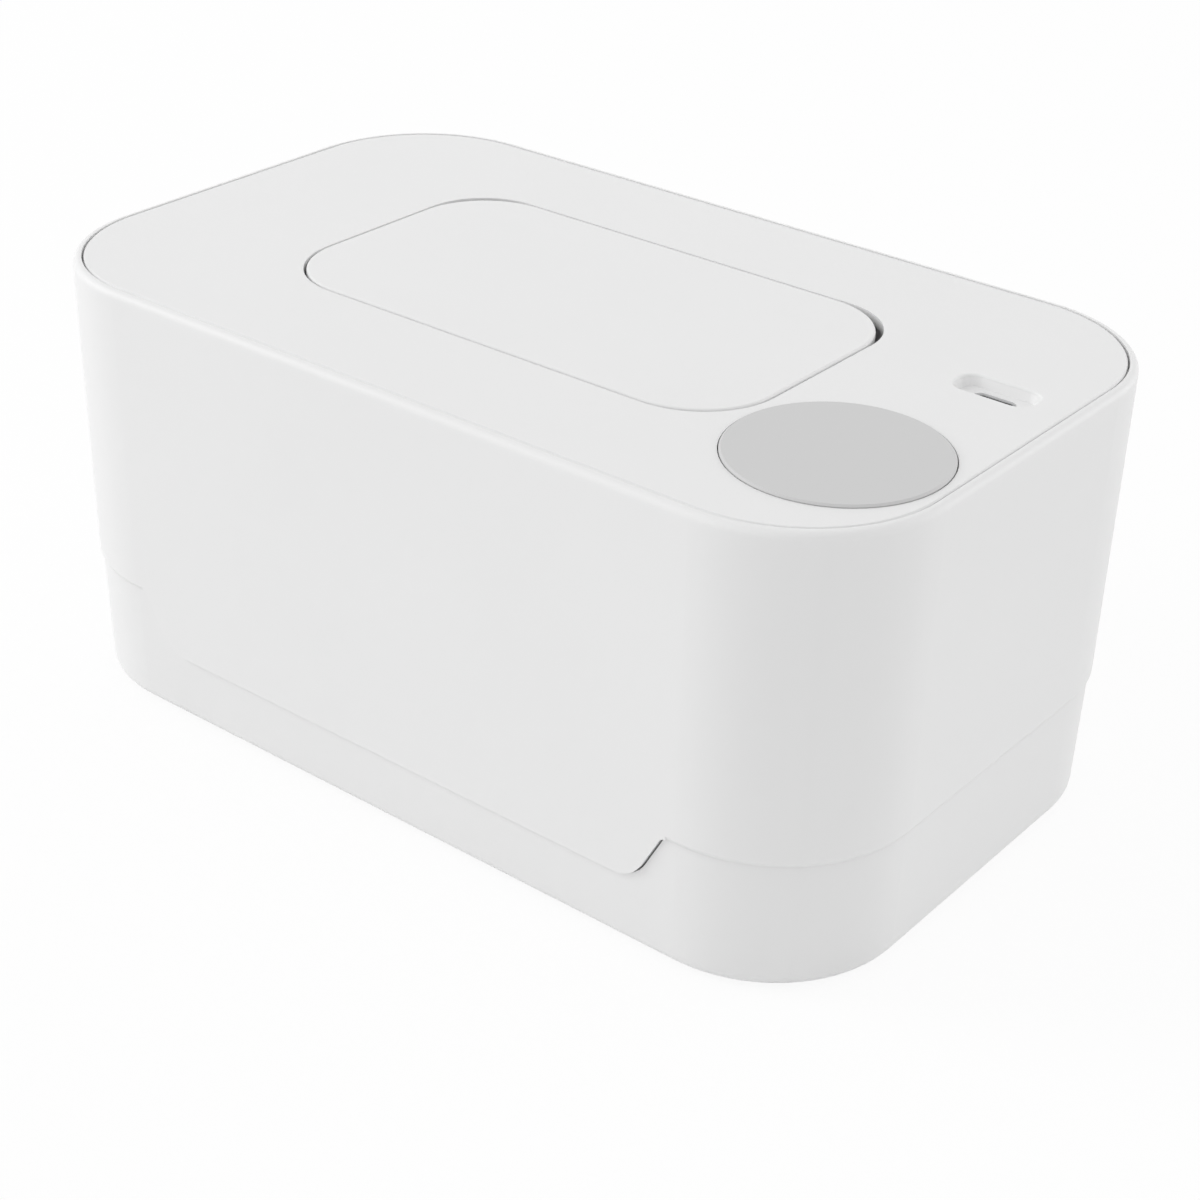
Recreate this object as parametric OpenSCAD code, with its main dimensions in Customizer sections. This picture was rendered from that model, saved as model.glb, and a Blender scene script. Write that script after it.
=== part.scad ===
// Baby wipe warmer: a lift-off heated cover with a flip lid, over a base that holds the wipes.
// X runs along the box, the front is -Y, and the feet stand at z = 0.

/* [Body] */
// Length of the box over its rim
body_l = 220; // [218:1:280]
// Depth of the box over its rim
body_w = 132; // [130:1:170]
// Height of the rim above the underside of the base
body_h = 102.5; // [98:0.5:140]
// Corner radius of the rim in plan
corner_r = 33.3; // [30:0.1:36]
// Thickness of the outer shell's wall
shell_t = 2.2; // [1.8:0.05:2.7]
// Lean of the shell's wall, in mm for each mm of height
shell_draft = 0.008; // [0:0.001:0.012]
// Radius of the rim's rounded outer edge
rim_r = 1.7; // [0.8:0.1:1.8]
// Width of the rim round the top panel
rim_w = 1.9; // [1.8:0.1:2.2]
// Gap between the rim and the top panel
rim_gap = 0.45; // [0.3:0.05:0.6]
// Depth of the ledge that carries the top panel, from the outer face
ledge_reach = 8; // [6:0.5:9]
// Thickness of that ledge
ledge_t = 2; // [1.6:0.1:2.4]

/* [Seam and flaps] */
// Height of the seam above the underside of the base
seam_h = 30; // [27:0.5:36]
// Height of the flaps' lower edge above the underside of the base
flap_h = 16.6; // [13.8:0.1:20]
// Distance from the middle to where a flap's side meets the seam
flap_end = 74.5; // [60:0.5:76]
// Slope of a flap's side, in degrees
flap_slope = 62; // [50:1:75]
// Radius of a flap's lower corner
flap_r = 9; // [5:0.5:10]
// Radius where a flap's side meets the seam
flap_root_r = 1.7; // [1:0.1:3]
// Gap between a flap's side and the base, measured along the box
flap_gap = 0.45; // [0.35:0.05:0.8]
// How far the shell's face stands out from the base's
seam_step = 0.65; // [0.3:0.05:1]
// Bevel of the shell's lower edge
seam_bevel = 0.5; // [0.2:0.1:0.8]

/* [Base and tray] */
// Thickness of the base's wall
base_t = 2; // [1.6:0.1:2.4]
// Thickness of the base's floor
base_floor_t = 2.5; // [2:0.1:3]
// Radius of the base's lower edge
base_edge_r = 3; // [2:0.1:4]
// Lean of the base's wall, in mm for each mm of height
base_draft = 0.023; // [0.01:0.001:0.03]
// Thickness of the tray's wall
tray_t = 1.8; // [1.4:0.1:2.4]
// Height of the tray's rim above the underside of the base
tray_h = 45.5; // [38:0.5:56]
// Height of the tray's floor above the base's floor
tray_stand = 4; // [3.5:0.1:6]
// Space between the shell's wall and the tray's rim
tray_clear = 0.75; // [0.6:0.05:1]
// Space between the shell's wall and the tray's guide ribs
rib_clear = 0.3; // [0.2:0.05:0.45]
// Diameter of a rubber foot
foot_d = 16; // [12:0.5:20]
// Thickness of a rubber foot
foot_t = 1.5; // [1.3:0.1:1.8]
// How far a foot stands out of the base
foot_proud = 0.5; // [0.3:0.1:0.8]
// Distance from a foot's centre to the box's end
foot_end = 28; // [26:1:40]
// Distance from a foot's centre to the box's long side
foot_side = 24; // [23:1:32]

/* [Top panel and well] */
// Thickness of the top panel
panel_t = 2.4; // [2.2:0.1:2.8]
// Thickness of the well's wall and floor
well_t = 1.7; // [1.4:0.1:2]
// How far the panel overhangs the well's wall
well_lip = 1.2; // [1:0.1:1.5]
// Diameter of the posts under the panel
post_d = 7; // [6:0.5:8]
// Distance from the middle to the posts beside the well
post_x = 60; // [50:1:64]

/* [Flip lid] */
// Length of the lid
lid_l = 120.2; // [100:0.1:122]
// Depth of the lid
lid_w = 68.4; // [66:0.1:84]
// Corner radius of the lid
lid_r = 18.1; // [14:0.1:20]
// Thickness of the lid's plate
lid_t = 2.2; // [2:0.1:2.4]
// Radius of the lid's upper edge
lid_edge_r = 0.6; // [0.4:0.1:1.6]
// Gap round the lid
lid_gap = 0.65; // [0.6:0.05:1.2]
// How much smaller the opening's back corners are in radius, so that the lid's tail clears them
back_corner_ease = 2.8; // [2.6:0.1:3.4]
// How far the lid stands above the panel
lid_proud = 0.2; // [0:0.05:0.3]
// Place of the lid's centre along the box
lid_x = -0.6; // [-3:0.1:0]
// Length of the lid behind its hinge, which dips into the well as it opens
lid_tail = 14; // [13:0.5:16]
// Depth of the hinge axis below the panel's face
hinge_drop = 2.6; // [2.4:0.05:2.8]
// Diameter of the hinge pins
pin_d = 1.5; // [1.2:0.05:1.8]
// Distance from the lid's middle to the hinge's inner lugs
hinge_x = 36; // [30:0.5:38]

/* [Dispensing mouth] */
// Length of the collar round the mouth
collar_l = 92; // [76:1:94]
// Depth of the collar round the mouth
collar_w = 34; // [30:0.5:34]
// Corner radius of the collar
collar_r = 15; // [12:0.5:16]
// Thickness of the collar's wall
collar_t = 2; // [1.6:0.1:2.4]
// Place of the mouth's centre across the box
mouth_y = -7; // [-7.5:0.1:-6.5]
// Length of the slot between the outlet's lips
slot_l = 62; // [40:1:68]
// Width of the slot between the outlet's lips
slot_w = 12; // [8:0.5:15]

/* [Heater] */
// Length of the heater plate
heater_l = 150; // [130:1:160]
// Depth of the heater plate
heater_w = 84; // [70:1:85]
// Corner radius of the heater plate
heater_r = 18; // [8:1:24]
// Thickness of the heater plate
heater_t = 1; // [0.8:0.1:1.5]
// Thickness of the heating film
film_t = 0.4; // [0.3:0.1:0.6]
// Thickness of the foam behind the film
foam_t = 4; // [3.9:0.1:6]

/* [Lens and port] */
// Diameter of the round lens
lens_d = 44.7; // [34:0.1:44.8]
// Thickness of the lens
lens_t = 2; // [1.8:0.1:2.2]
// How far the lens stands above the panel
lens_proud = 0.5; // [0.2:0.05:0.6]
// Distance from the lens's centre to the box's right end
lens_end = 26.7; // [26.7:0.1:30]
// Distance from the lens's centre to the box's front
lens_front = 37.7; // [36:0.1:42]
// Length of the recess round the port
port_l = 19; // [17:0.5:20]
// Width of the recess round the port
port_w = 9.6; // [8.6:0.1:11]
// Depth of the recess round the port
port_depth = 2.2; // [1.5:0.1:2.4]
// Distance from the port's centre to the box's right end
port_end = 19; // [18:0.5:22]
// Distance from the port's centre to the box's back
port_back = 49.1; // [46:0.1:52]

/* [Fasteners] */
// Diameter of the cover's and tray's screws
screw_d = 2.6; // [2.2:0.1:3]
// Diameter of their heads
screw_head_d = 5.2; // [4.6:0.1:5.6]
// Height of their heads
screw_head_h = 1.8; // [1.4:0.1:1.9]
// Diameter of the board's screws
board_screw_d = 2; // [1.6:0.1:2.2]

/* [Hidden] */
$fn = 64;

// Clearances
fit = 0.3;          // round a piece that drops into a seat
screw_fit = 0.05;   // round a screw in its hole
pin_fit = 0.05;     // round a hinge pin
overlap = 0.5;      // how far a rib or boss runs into the wall that carries it

// Heights
base_z = foot_proud;
base_floor_z = base_z + base_floor_t;
flap_z = base_z + flap_h;
seam_z = base_z + seam_h;
top_z = base_z + body_h;
tray_z = base_floor_z + tray_stand;
tray_floor_z = tray_z + tray_t;
tray_top_z = base_z + tray_h;
panel_z = top_z - panel_t;
ledge_z = panel_z - ledge_t;
lid_top_z = top_z + lid_proud;
lid_z = lid_top_z - lid_t;
hinge_z = top_z - hinge_drop;
tail_clear = 0.8;
well_z = hinge_z - lid_tail - tail_clear;
well_under_z = well_z - well_t;
cover_gap = 1;
cover_t = 1.8;
cover_top_z = well_under_z - cover_gap;
cover_z = cover_top_z - cover_t;
film_top_z = cover_z - foam_t;
plate_top_z = film_top_z - film_t;
heater_z = plate_top_z - heater_t;

// Insets from the rim's outer face, at height z
function shell_inset(z) = shell_draft * (top_z - z);
function base_inset(z) = shell_inset(seam_z) + seam_step + base_draft * (seam_z - z);
panel_inset = rim_w + rim_gap;
tray_top_inset = shell_inset(seam_z) + shell_t + tray_clear;
tray_foot_inset = base_inset(tray_z) + base_t + 0.35;
function tray_inset(z) =
    tray_top_inset + (tray_foot_inset - tray_top_inset) * (tray_top_z - z) / (tray_top_z - tray_z);

// Points of an arc about [x, y], from angle a to angle b
function arc(x, y, r, a, b, n = 6) =
    [for (i = [0:n]) let (t = a + (b - a) * i / n) [x + r * cos(t), y + r * sin(t)]];

// A wall swept round a rounded rectangle, its section given as [inset, height] points
module swept_wall(l, w, r, section) {
    outline = [for (p = section) [r - p[0], p[1]]];
    for (side = [0:3]) {
        straight = (side % 2 == 0 ? l : w) - 2 * r;
        reach = (side % 2 == 0 ? w : l) / 2 - r;
        rotate(90 * side) {
            translate([0, reach, 0]) rotate([90, 0, 90]) linear_extrude(straight, center = true) polygon(outline);
            translate([straight / 2, reach, 0]) rotate_extrude(angle = 90) polygon(outline);
        }
    }
}

// The same, filled to the middle from its lowest to its highest point
module swept_solid(l, w, r, section) {
    low = section[0][1];
    high = section[len(section) - 1][1];
    swept_wall(l, w, r, concat([[r, low]], section, [[r, high]]));
    translate([0, 0, low]) linear_extrude(high - low) square([l - 2 * r, w - 2 * r], center = true);
}

// Rounded rectangle, whose back corners may have a radius of their own
module rounded(l, w, r, back_r = undef) {
    br = is_undef(back_r) ? r : back_r;
    translate([0, (r - br) / 2]) square([l, w - r - br], center = true);
    for (end = [[-1, r], [1, br]]) {
        translate([0, end[0] * (w - end[1]) / 2]) square([l - 2 * end[1], end[1]], center = true);
        for (x = [-1, 1]) translate([x * (l / 2 - end[1]), end[0] * (w / 2 - end[1])]) circle(end[1]);
    }
}

// Flat plate with rounded corners between two heights
module slab(l, w, r, low, high, back_r = undef) {
    translate([0, 0, low]) linear_extrude(high - low) rounded(l, w, r, back_r);
}

// Upright round post or hole between two heights
module rod(d, low, high) {
    translate([0, 0, low]) cylinder(d = d, h = high - low);
}

// Children in a side's own frame: x along the side, y inwards from the rim's outer face
module at_side(side, along) {
    reach = (side % 2 == 0 ? body_w : body_l) / 2;
    rotate(90 * side) translate([along, reach, 0]) mirror([0, 1, 0]) children();
}

// A rib or hook of the given width, its section given as [inset, height] points
module side_rib(side, along, width, section) {
    at_side(side, along) rotate([90, 0, 90]) linear_extrude(width, center = true) polygon(section);
}

// Round wire wound about Z, with straight legs of the given length at its ends
module coil(wire_d, mean_r, turns, height, leg = 0) {
    per_turn = 12;
    sides = 6;
    n = round(turns * per_turn);
    wound = [for (i = [0:n]) [360 * turns * i / n, 0, height * i / n]];
    stations = leg > 0 ? concat([[0, -leg, 0]], wound, [[360 * turns, leg, height]]) : wound;
    points = [for (s = stations, j = [0:sides - 1])
        let (a = s[0], b = 360 * j / sides, r = mean_r + wire_d / 2 * cos(b))
        [r * cos(a) - s[1] * sin(a), r * sin(a) + s[1] * cos(a), s[2] + wire_d / 2 * sin(b)]];
    last = (len(stations) - 1) * sides;
    faces = concat(
        [[for (j = [sides - 1:-1:0]) j]],
        [for (i = [0:len(stations) - 2], j = [0:sides - 1])
            let (a = i * sides + j, b = i * sides + (j + 1) % sides)
            [a, b, b + sides, a + sides]],
        [[for (j = [0:sides - 1]) last + j]]);
    polyhedron(points, faces);
}

// Pan-head screw that points up, its head's seat at the given height
module screw_up(d, head_d, head_h, length, seat) {
    rod(d, seat - overlap, seat + length);
    translate([0, 0, seat - head_h]) rotate_extrude()
        polygon([[0, 0], [head_d / 2 - 0.6, 0], [head_d / 2, 0.6], [head_d / 2, head_h], [0, head_h]]);
}

// Outline of a flap, its sides moved out by the given gap, with its top at the given height
flap_drop = seam_z - flap_z;
flap_radii = flap_r + flap_root_r;
flap_straight = (flap_drop - flap_radii * (1 - cos(flap_slope))) / sin(flap_slope);
flap_foot = flap_end - flap_radii * sin(flap_slope) - flap_straight * cos(flap_slope);
function flap_side(gap) = concat(
    arc(flap_foot + gap, flap_z + flap_r, flap_r, -90, flap_slope - 90, 10),
    arc(flap_end + gap, seam_z - flap_root_r, flap_root_r, flap_slope + 90, 90));
function flap_outline(gap, top) = let (right = flap_side(gap), n = len(right) - 1) concat(
    right, [[flap_end + gap, top], [-flap_end - gap, top]], [for (i = [n:-1:0]) [-right[i][0], right[i][1]]]);

foot_places = [for (x = [-1, 1], y = [-1, 1]) [x * (body_l / 2 - foot_end), y * (body_w / 2 - foot_side)]];
foot_seat_z = foot_t;
tray_screw_seat_z = base_floor_z + 0.5;
tray_boss_z = tray_screw_seat_z + 1.5;
boss_d = 11;

module base_shell() {
    low_z = base_z + base_edge_r;
    low_inset = base_inset(low_z) + base_edge_r;
    inner_r = 2;
    inner_z = base_floor_z + inner_r;
    section = concat(
        [[corner_r, base_z]],
        arc(low_inset, low_z, base_edge_r, 270, 180),
        [[base_inset(seam_z), seam_z], [base_inset(seam_z) + base_t, seam_z]],
        arc(base_inset(inner_z) + base_t + inner_r, inner_z, inner_r, 180, 270),
        [[corner_r, base_floor_z]]);
    rib_t = 1.5;
    rib_top_z = tray_z - fit;
    color("whitesmoke") difference() {
        union() {
            swept_wall(body_l, body_w, corner_r, section);
            translate([0, 0, base_z]) linear_extrude(base_floor_t)
                square([body_l - 2 * corner_r, body_w - 2 * corner_r], center = true);
            for (p = foot_places) translate(p) rod(boss_d, base_floor_z - overlap, tray_boss_z);
            for (y = [-20, 20]) translate([0, y, (base_floor_z + rib_top_z) / 2 - overlap / 2])
                cube([body_l - 60, rib_t, rib_top_z - base_floor_z + overlap], center = true);
        }
        rotate([90, 0, 0]) linear_extrude(body_w + 2, center = true)
            polygon(flap_outline(flap_gap, seam_z + 2));
        for (p = foot_places) translate(p) {
            rod(foot_d + 0.4, -1, foot_seat_z);
            rod(screw_head_d + 1, -1, tray_screw_seat_z);
            rod(screw_d + 2 * fit, -1, tray_boss_z + 1);
        }
    }
}

module wipe_tray() {
    outer_r = 4;
    inner_r = 3;
    lip_r = tray_t / 2;
    outer_z = tray_z + outer_r;
    inner_z = tray_floor_z + inner_r;
    lip_z = tray_top_z - lip_r;
    section = concat(
        [[corner_r, tray_z]],
        arc(tray_inset(outer_z) + outer_r, outer_z, outer_r, 270, 180),
        arc(tray_inset(lip_z) + lip_r, lip_z, lip_r, 180, 0),
        arc(tray_inset(inner_z) + tray_t + inner_r, inner_z, inner_r, 180, 270),
        [[corner_r, tray_floor_z]]);
    rib_inset = shell_inset(flap_z) + shell_t + rib_clear;
    rib_low_z = seam_z + 1;
    rib_high_z = lip_z - 1;
    rib = [[rib_inset, rib_low_z + 1], [rib_inset, rib_high_z - 1], [tray_inset(rib_high_z) + overlap, rib_high_z],
        [tray_inset(rib_low_z) + overlap, rib_low_z]];
    color("white") difference() {
        union() {
            swept_wall(body_l, body_w, corner_r, section);
            translate([0, 0, tray_z]) linear_extrude(tray_t)
                square([body_l - 2 * corner_r, body_w - 2 * corner_r], center = true);
            for (p = foot_places) translate(p) rod(boss_d - 3, tray_boss_z, tray_z + overlap);
            for (side = [0, 2], along = [-50, 0, 50]) side_rib(side, along, 1.6, rib);
            for (side = [1, 3], along = [-18, 18]) side_rib(side, along, 1.6, rib);
        }
        for (p = foot_places) translate(p) rod(screw_d + 2 * screw_fit, tray_boss_z - 1, tray_z + 0.8);
    }
}

module tray_screws() {
    color("silver") for (p = foot_places) translate(p)
        screw_up(screw_d, screw_head_d, screw_head_h, tray_z + 0.5 - tray_screw_seat_z, tray_screw_seat_z);
}

module rubber_feet() {
    color("dimgray") for (p = foot_places) translate(p) rotate_extrude()
        polygon([[0, 0], [foot_d / 2 - 0.5, 0], [foot_d / 2, 0.5], [foot_d / 2, foot_t], [0, foot_t]]);
}

lens_x = body_l / 2 - lens_end;
lens_y = lens_front - body_w / 2;
lens_fit = 0.25;
lens_seat_z = top_z + lens_proud - lens_t - 0.3;
lens_boss_d = lens_d + 2.8;
window_d = lens_d - 6.7;
seat_under_z = panel_z - 1.4;

module outer_shell() {
    bevel_z = seam_z + 2 * seam_bevel;
    edge_z = top_z - rim_r;
    ring = concat(
        [[shell_inset(seam_z) + seam_bevel, seam_z], [shell_inset(bevel_z), bevel_z]],
        arc(shell_inset(edge_z) + rim_r, edge_z, rim_r, 180, 90, 8),
        [[rim_w, top_z], [rim_w, panel_z], [ledge_reach, panel_z], [ledge_reach, ledge_z],
        [shell_inset(ledge_z) + shell_t, ledge_z], [shell_inset(seam_z) + shell_t, seam_z]]);
    flap = [[shell_inset(flap_z) + 0.3, flap_z], [shell_inset(flap_z + 0.3), flap_z + 0.3],
        [shell_inset(bevel_z), bevel_z], [shell_inset(bevel_z) + shell_t, bevel_z],
        [shell_inset(flap_z) + shell_t, flap_z]];
    gusset = [[shell_t - overlap, ledge_z + overlap], [ledge_reach - 1, ledge_z + overlap],
        [ledge_reach - 1, ledge_z], [shell_inset(ledge_z) + shell_t, ledge_z - 6], [shell_t - overlap, ledge_z - 6]];
    color("whitesmoke") {
        difference() {
            union() {
                swept_wall(body_l, body_w, corner_r, ring);
                for (side = [0, 2], along = [-44, -16, 16, 44]) side_rib(side, along, 1.4, gusset);
                for (side = [1, 3], along = [-10, 10]) side_rib(side, along, 1.4, gusset);
            }
            translate([lens_x, lens_y, 0]) rod(lens_boss_d + 2 * 0.4, ledge_z - 8, panel_z);
        }
        intersection() {
            for (side = [0, 2]) side_rib(side, 0, 2 * flap_end, flap);
            rotate([90, 0, 0]) linear_extrude(body_w + 2, center = true) polygon(flap_outline(0, bevel_z));
        }
    }
}

opening_l = lid_l + 2 * lid_gap;
opening_w = lid_w + 2 * lid_gap;
opening_r = lid_r + lid_gap;
well_l = opening_l + 2 * well_lip;
well_w = opening_w + 2 * well_lip;
well_r = opening_r + well_lip;
post_y = well_w / 2 + well_t + post_d / 2 + 5.8;
end_post_x = body_l / 2 - 13;
cover_posts = concat(
    [for (x = [-post_x, 0, post_x], y = [-post_y, post_y]) [x, y]], [[-end_post_x, 0], [end_post_x, 0]]);
hinge_y = lid_w / 2 - lid_tail;
lug_t = 2.6;
lug_r = pin_d / 2 + 0.95;
hinge_span = 15.6;
lug_places = [for (s = [-1, 1], x = [hinge_x, hinge_x + hinge_span - lug_t]) lid_x + s * (x + lug_t / 2)];
port_x = body_l / 2 - port_end;
port_y = body_w / 2 - port_back;
port_floor_z = top_z - port_depth;
socket_l = 8.94;
socket_w = 3.26;
socket_y = -0.6;
board_post_d = 5;
board_top_z = panel_z - 8;
board_post_r = (lens_boss_d + window_d) / 4;
board_posts = concat(
    [for (a = [225, 315]) [lens_x + board_post_r * cos(a), lens_y + board_post_r * sin(a)]],
    [[port_x - 21.5, port_y + 9.5], [port_x + 8, port_y + 9.5]]);
collar_top_z = lid_z - 3.8;
outlet_l = collar_l - 2 * collar_t - 8;
outlet_w = collar_w - 2 * collar_t - 8;
outlet_r = collar_r - collar_t - 3;

// Section of a hinge lug about the pin: an eye on a stem that leans forward, clear of the lid's tail
module lug_section() {
    foot = well_z - hinge_z - overlap;
    circle(lug_r);
    polygon([[-5.2, foot], [-1.5, foot], [-1.5, -0.8], [-1.65, 0.4], [-5.2, -3]]);
}

module top_panel() {
    edge = 0.3;
    plate = [[panel_inset, panel_z], [panel_inset, top_z - edge], [panel_inset + edge, top_z]];
    hook = [[ledge_reach + fit, panel_z + overlap], [ledge_reach + fit, ledge_z - 0.2], [ledge_reach - 0.9, ledge_z - 0.2],
        [ledge_reach + fit, ledge_z - 2.2], [ledge_reach + 1.7, ledge_z - 2.2], [ledge_reach + 1.7, panel_z + overlap]];
    recess_edge = 0.6;
    recess = concat([[recess_edge + 0.9, port_floor_z]], arc(0, top_z - recess_edge, recess_edge, 0, 90), [[0, top_z + 1]]);
    rib_t = 1.2;
    rib_z = panel_z - 5;
    rib_low = well_w / 2 + well_t - overlap;
    color("whitesmoke") difference() {
        union() {
            difference() {
                swept_solid(body_l, body_w, corner_r, plate);
                translate([lid_x, 0, 0])
                    slab(opening_l, opening_w, opening_r, panel_z - 1, top_z + 1, opening_r - back_corner_ease);
            }
            translate([lid_x, 0, 0]) {
                difference() {
                    slab(well_l + 2 * well_t, well_w + 2 * well_t, well_r + well_t, well_under_z, panel_z,
                        well_r + well_t - back_corner_ease);
                    slab(well_l, well_w, well_r, well_z, panel_z + 1, well_r - back_corner_ease);
                }
                translate([0, mouth_y, 0]) slab(collar_l, collar_w, collar_r, well_z - overlap, collar_top_z);
            }
            for (x = lug_places) translate([x, hinge_y, hinge_z])
                rotate([90, 0, 90]) linear_extrude(lug_t, center = true) lug_section();
            translate([lens_x, lens_y, 0]) rod(lens_boss_d, seat_under_z, panel_z + overlap);
            translate([port_x, port_y, 0])
                slab(port_l + 2.4, port_w + 2.4, port_w / 2, seat_under_z, panel_z + overlap);
            for (p = cover_posts) translate(p) rod(post_d, cover_top_z, panel_z + overlap);
            for (p = board_posts) translate(p) rod(board_post_d, board_top_z, panel_z + overlap);
            for (side = [0, 2], along = [-60, 0, 60]) side_rib(side, along, 8, hook);
            for (along = [-20, 20]) side_rib(1, along, 8, hook);
            side_rib(3, 9, 8, hook);
            for (x = [-30, 30], s = [-1, 1]) translate([x, s * (rib_low + 8), (rib_z + panel_z + overlap) / 2])
                cube([rib_t, 16, panel_z + overlap - rib_z], center = true);
            for (y = [-12, 12]) translate([lid_x - well_l / 2 - well_t - 12, y, (rib_z + panel_z + overlap) / 2])
                cube([25, rib_t, panel_z + overlap - rib_z], center = true);
        }
        translate([lens_x, lens_y, 0]) {
            rod(lens_d + 2 * lens_fit, lens_seat_z, top_z + 1);
            rod(window_d, seat_under_z - 1, lens_seat_z + 1);
        }
        translate([port_x, port_y, 0]) {
            swept_solid(port_l, port_w, port_w / 2 - 0.8, recess);
            translate([0, socket_y, 0]) slab(socket_l + 2 * fit, socket_w + 2 * fit, (socket_w + 2 * fit) / 2 - 0.05, seat_under_z - 1, port_floor_z + 1);
        }
        translate([lid_x, mouth_y, 0]) {
            slab(collar_l - 2 * collar_t, collar_w - 2 * collar_t, collar_r - collar_t, well_z, collar_top_z + 1);
            slab(outlet_l, outlet_w, outlet_r, well_under_z - 1, well_z + 1);
        }
        for (s = [-1, 1]) translate([lid_x + s * (hinge_x + hinge_span / 2), hinge_y, hinge_z])
            rotate([0, 90, 0]) cylinder(d = pin_d + 2 * pin_fit, h = hinge_span + 1, center = true);
        for (p = cover_posts) translate(p) rod(screw_d + 2 * screw_fit, cover_top_z - 1, cover_top_z + 12);
        for (p = board_posts) translate(p) rod(board_screw_d + 2 * screw_fit, board_top_z - 1, board_top_z + 5.5);
    }
}

pocket_t = 1.6;
mouth_wall = 2;
lead_x = port_x - 21;
lead_y = port_y - 8.9;
lead_gap = 2;

module inner_cover() {
    inset = shell_inset(cover_z) + shell_t + 0.6;
    rim_t = 1.4;
    rim_h = 3;
    color("whitesmoke") difference() {
        union() {
            swept_solid(body_l, body_w, corner_r, [[inset, cover_z], [inset, cover_top_z]]);
            swept_wall(body_l, body_w, corner_r, [[inset, cover_top_z - overlap], [inset, cover_top_z + rim_h],
                [inset + rim_t, cover_top_z + rim_h], [inset + rim_t, cover_top_z - overlap]]);
            difference() {
                slab(heater_l + 2 * (fit + pocket_t), heater_w + 2 * (fit + pocket_t), heater_r + fit + pocket_t,
                    heater_z, cover_z + overlap);
                slab(heater_l + 2 * fit, heater_w + 2 * fit, heater_r + fit, heater_z - 1, cover_z);
            }
            translate([lid_x, mouth_y, 0]) slab(outlet_l + 2 * mouth_wall, outlet_w + 2 * mouth_wall,
                outlet_r + mouth_wall, heater_z, cover_z + overlap);
        }
        translate([lid_x, mouth_y, 0]) slab(outlet_l, outlet_w, outlet_r, heater_z - 1, cover_top_z + 1);
        for (p = cover_posts) translate(p) rod(screw_d + 2 * fit, cover_z - 1, cover_top_z + 1);
        translate([lead_x, lead_y, 0]) slab(7, 5, 2, cover_z - 1, cover_top_z + 1);
    }
}

module cover_screws() {
    color("silver") for (p = cover_posts) translate(p)
        screw_up(screw_d, screw_head_d, screw_head_h, 10, cover_z);
}

module wipe_outlet() {
    flange_t = 1.5;
    flange_z = well_z + flange_t;
    neck_t = 1.8;
    color("gainsboro") translate([lid_x, mouth_y, 0]) difference() {
        union() {
            slab(collar_l - 2 * collar_t - 2 * fit, collar_w - 2 * collar_t - 2 * fit, collar_r - collar_t - fit,
                well_z, flange_z);
            slab(outlet_l - 2 * fit, outlet_w - 2 * fit, outlet_r - fit, cover_z, well_z + overlap);
        }
        slab(outlet_l - 2 * (fit + neck_t), outlet_w - 2 * (fit + neck_t), outlet_r - fit - neck_t,
            cover_z - 1, flange_z - 1.4);
        slab(slot_l, slot_w, slot_w / 2 - 0.1, cover_z - 1, flange_z + 1);
    }
}

// A layer of the heater, its edge the given distance inside the plate's, with the mouth's hole
module heater_layer(margin, low, high) {
    difference() {
        slab(heater_l - 2 * margin, heater_w - 2 * margin, heater_r - margin, low, high);
        translate([lid_x, mouth_y, 0]) slab(outlet_l + 2 * (mouth_wall + fit + margin), outlet_w + 2 * (mouth_wall + fit + margin),
            outlet_r + mouth_wall + fit + margin, low - 1, high + 1);
    }
}

fuse_d = 3.6;
fuse_l = 10;
fuse_place = [-58, 18];
sensor_d = 2.4;
sensor_l = 5;
sensor_place = [58, -26];

module heater_plate() {
    color("silver") heater_layer(0, heater_z, plate_top_z);
}

module heater_film() {
    color("peru") heater_layer(1.5, plate_top_z, film_top_z);
}

module heater_insulation() {
    color("gray") difference() {
        heater_layer(0.2, film_top_z, cover_z);
        translate(fuse_place) slab(fuse_l + 1.2, fuse_d + 1.2, 1, film_top_z - 1, cover_z + 1);
        translate(sensor_place) slab(sensor_l + 1.2, sensor_d + 1.2, 1, film_top_z - 1, cover_z + 1);
        translate([lead_x, lead_y, 0]) slab(8, 6, 2, film_top_z - 1, cover_z + 1);
    }
}

module thermal_fuse() {
    color("white") translate([fuse_place[0], fuse_place[1], film_top_z + fuse_d / 2])
        rotate([0, 90, 0]) cylinder(d = fuse_d, h = fuse_l, center = true);
}

module temperature_sensor() {
    bead = [[0, -sensor_l / 2], [sensor_d / 4, -sensor_l / 2], [sensor_d / 2, sensor_d / 4 - sensor_l / 2],
        [sensor_d / 2, sensor_l / 2], [0, sensor_l / 2]];
    color("black") translate([sensor_place[0], sensor_place[1], film_top_z + sensor_d / 2])
        rotate([0, 90, 0]) rotate_extrude() polygon(bead);
}

board_t = 1.6;
board_z = board_top_z - board_t;
board_low = [lens_x - 17.6, lens_y - 18.4];
board_high = [port_x + 10.9, port_y + 12.6];

module control_board() {
    size = board_high - board_low;
    middle = (board_high + board_low) / 2;
    notch_d = post_d + 1.6;
    color("darkgreen") difference() {
        translate([middle[0], middle[1], 0]) slab(size[0], size[1], 3, board_z, board_top_z);
        translate([end_post_x, 0, 0]) {
            rod(notch_d, board_z - 1, board_top_z + 1);
            translate([10, 0, board_z + board_t / 2]) cube([20, notch_d, board_t + 2], center = true);
        }
        for (p = board_posts) translate(p) rod(board_screw_d + 2 * fit, board_z - 1, board_top_z + 1);
    }
}

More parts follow.
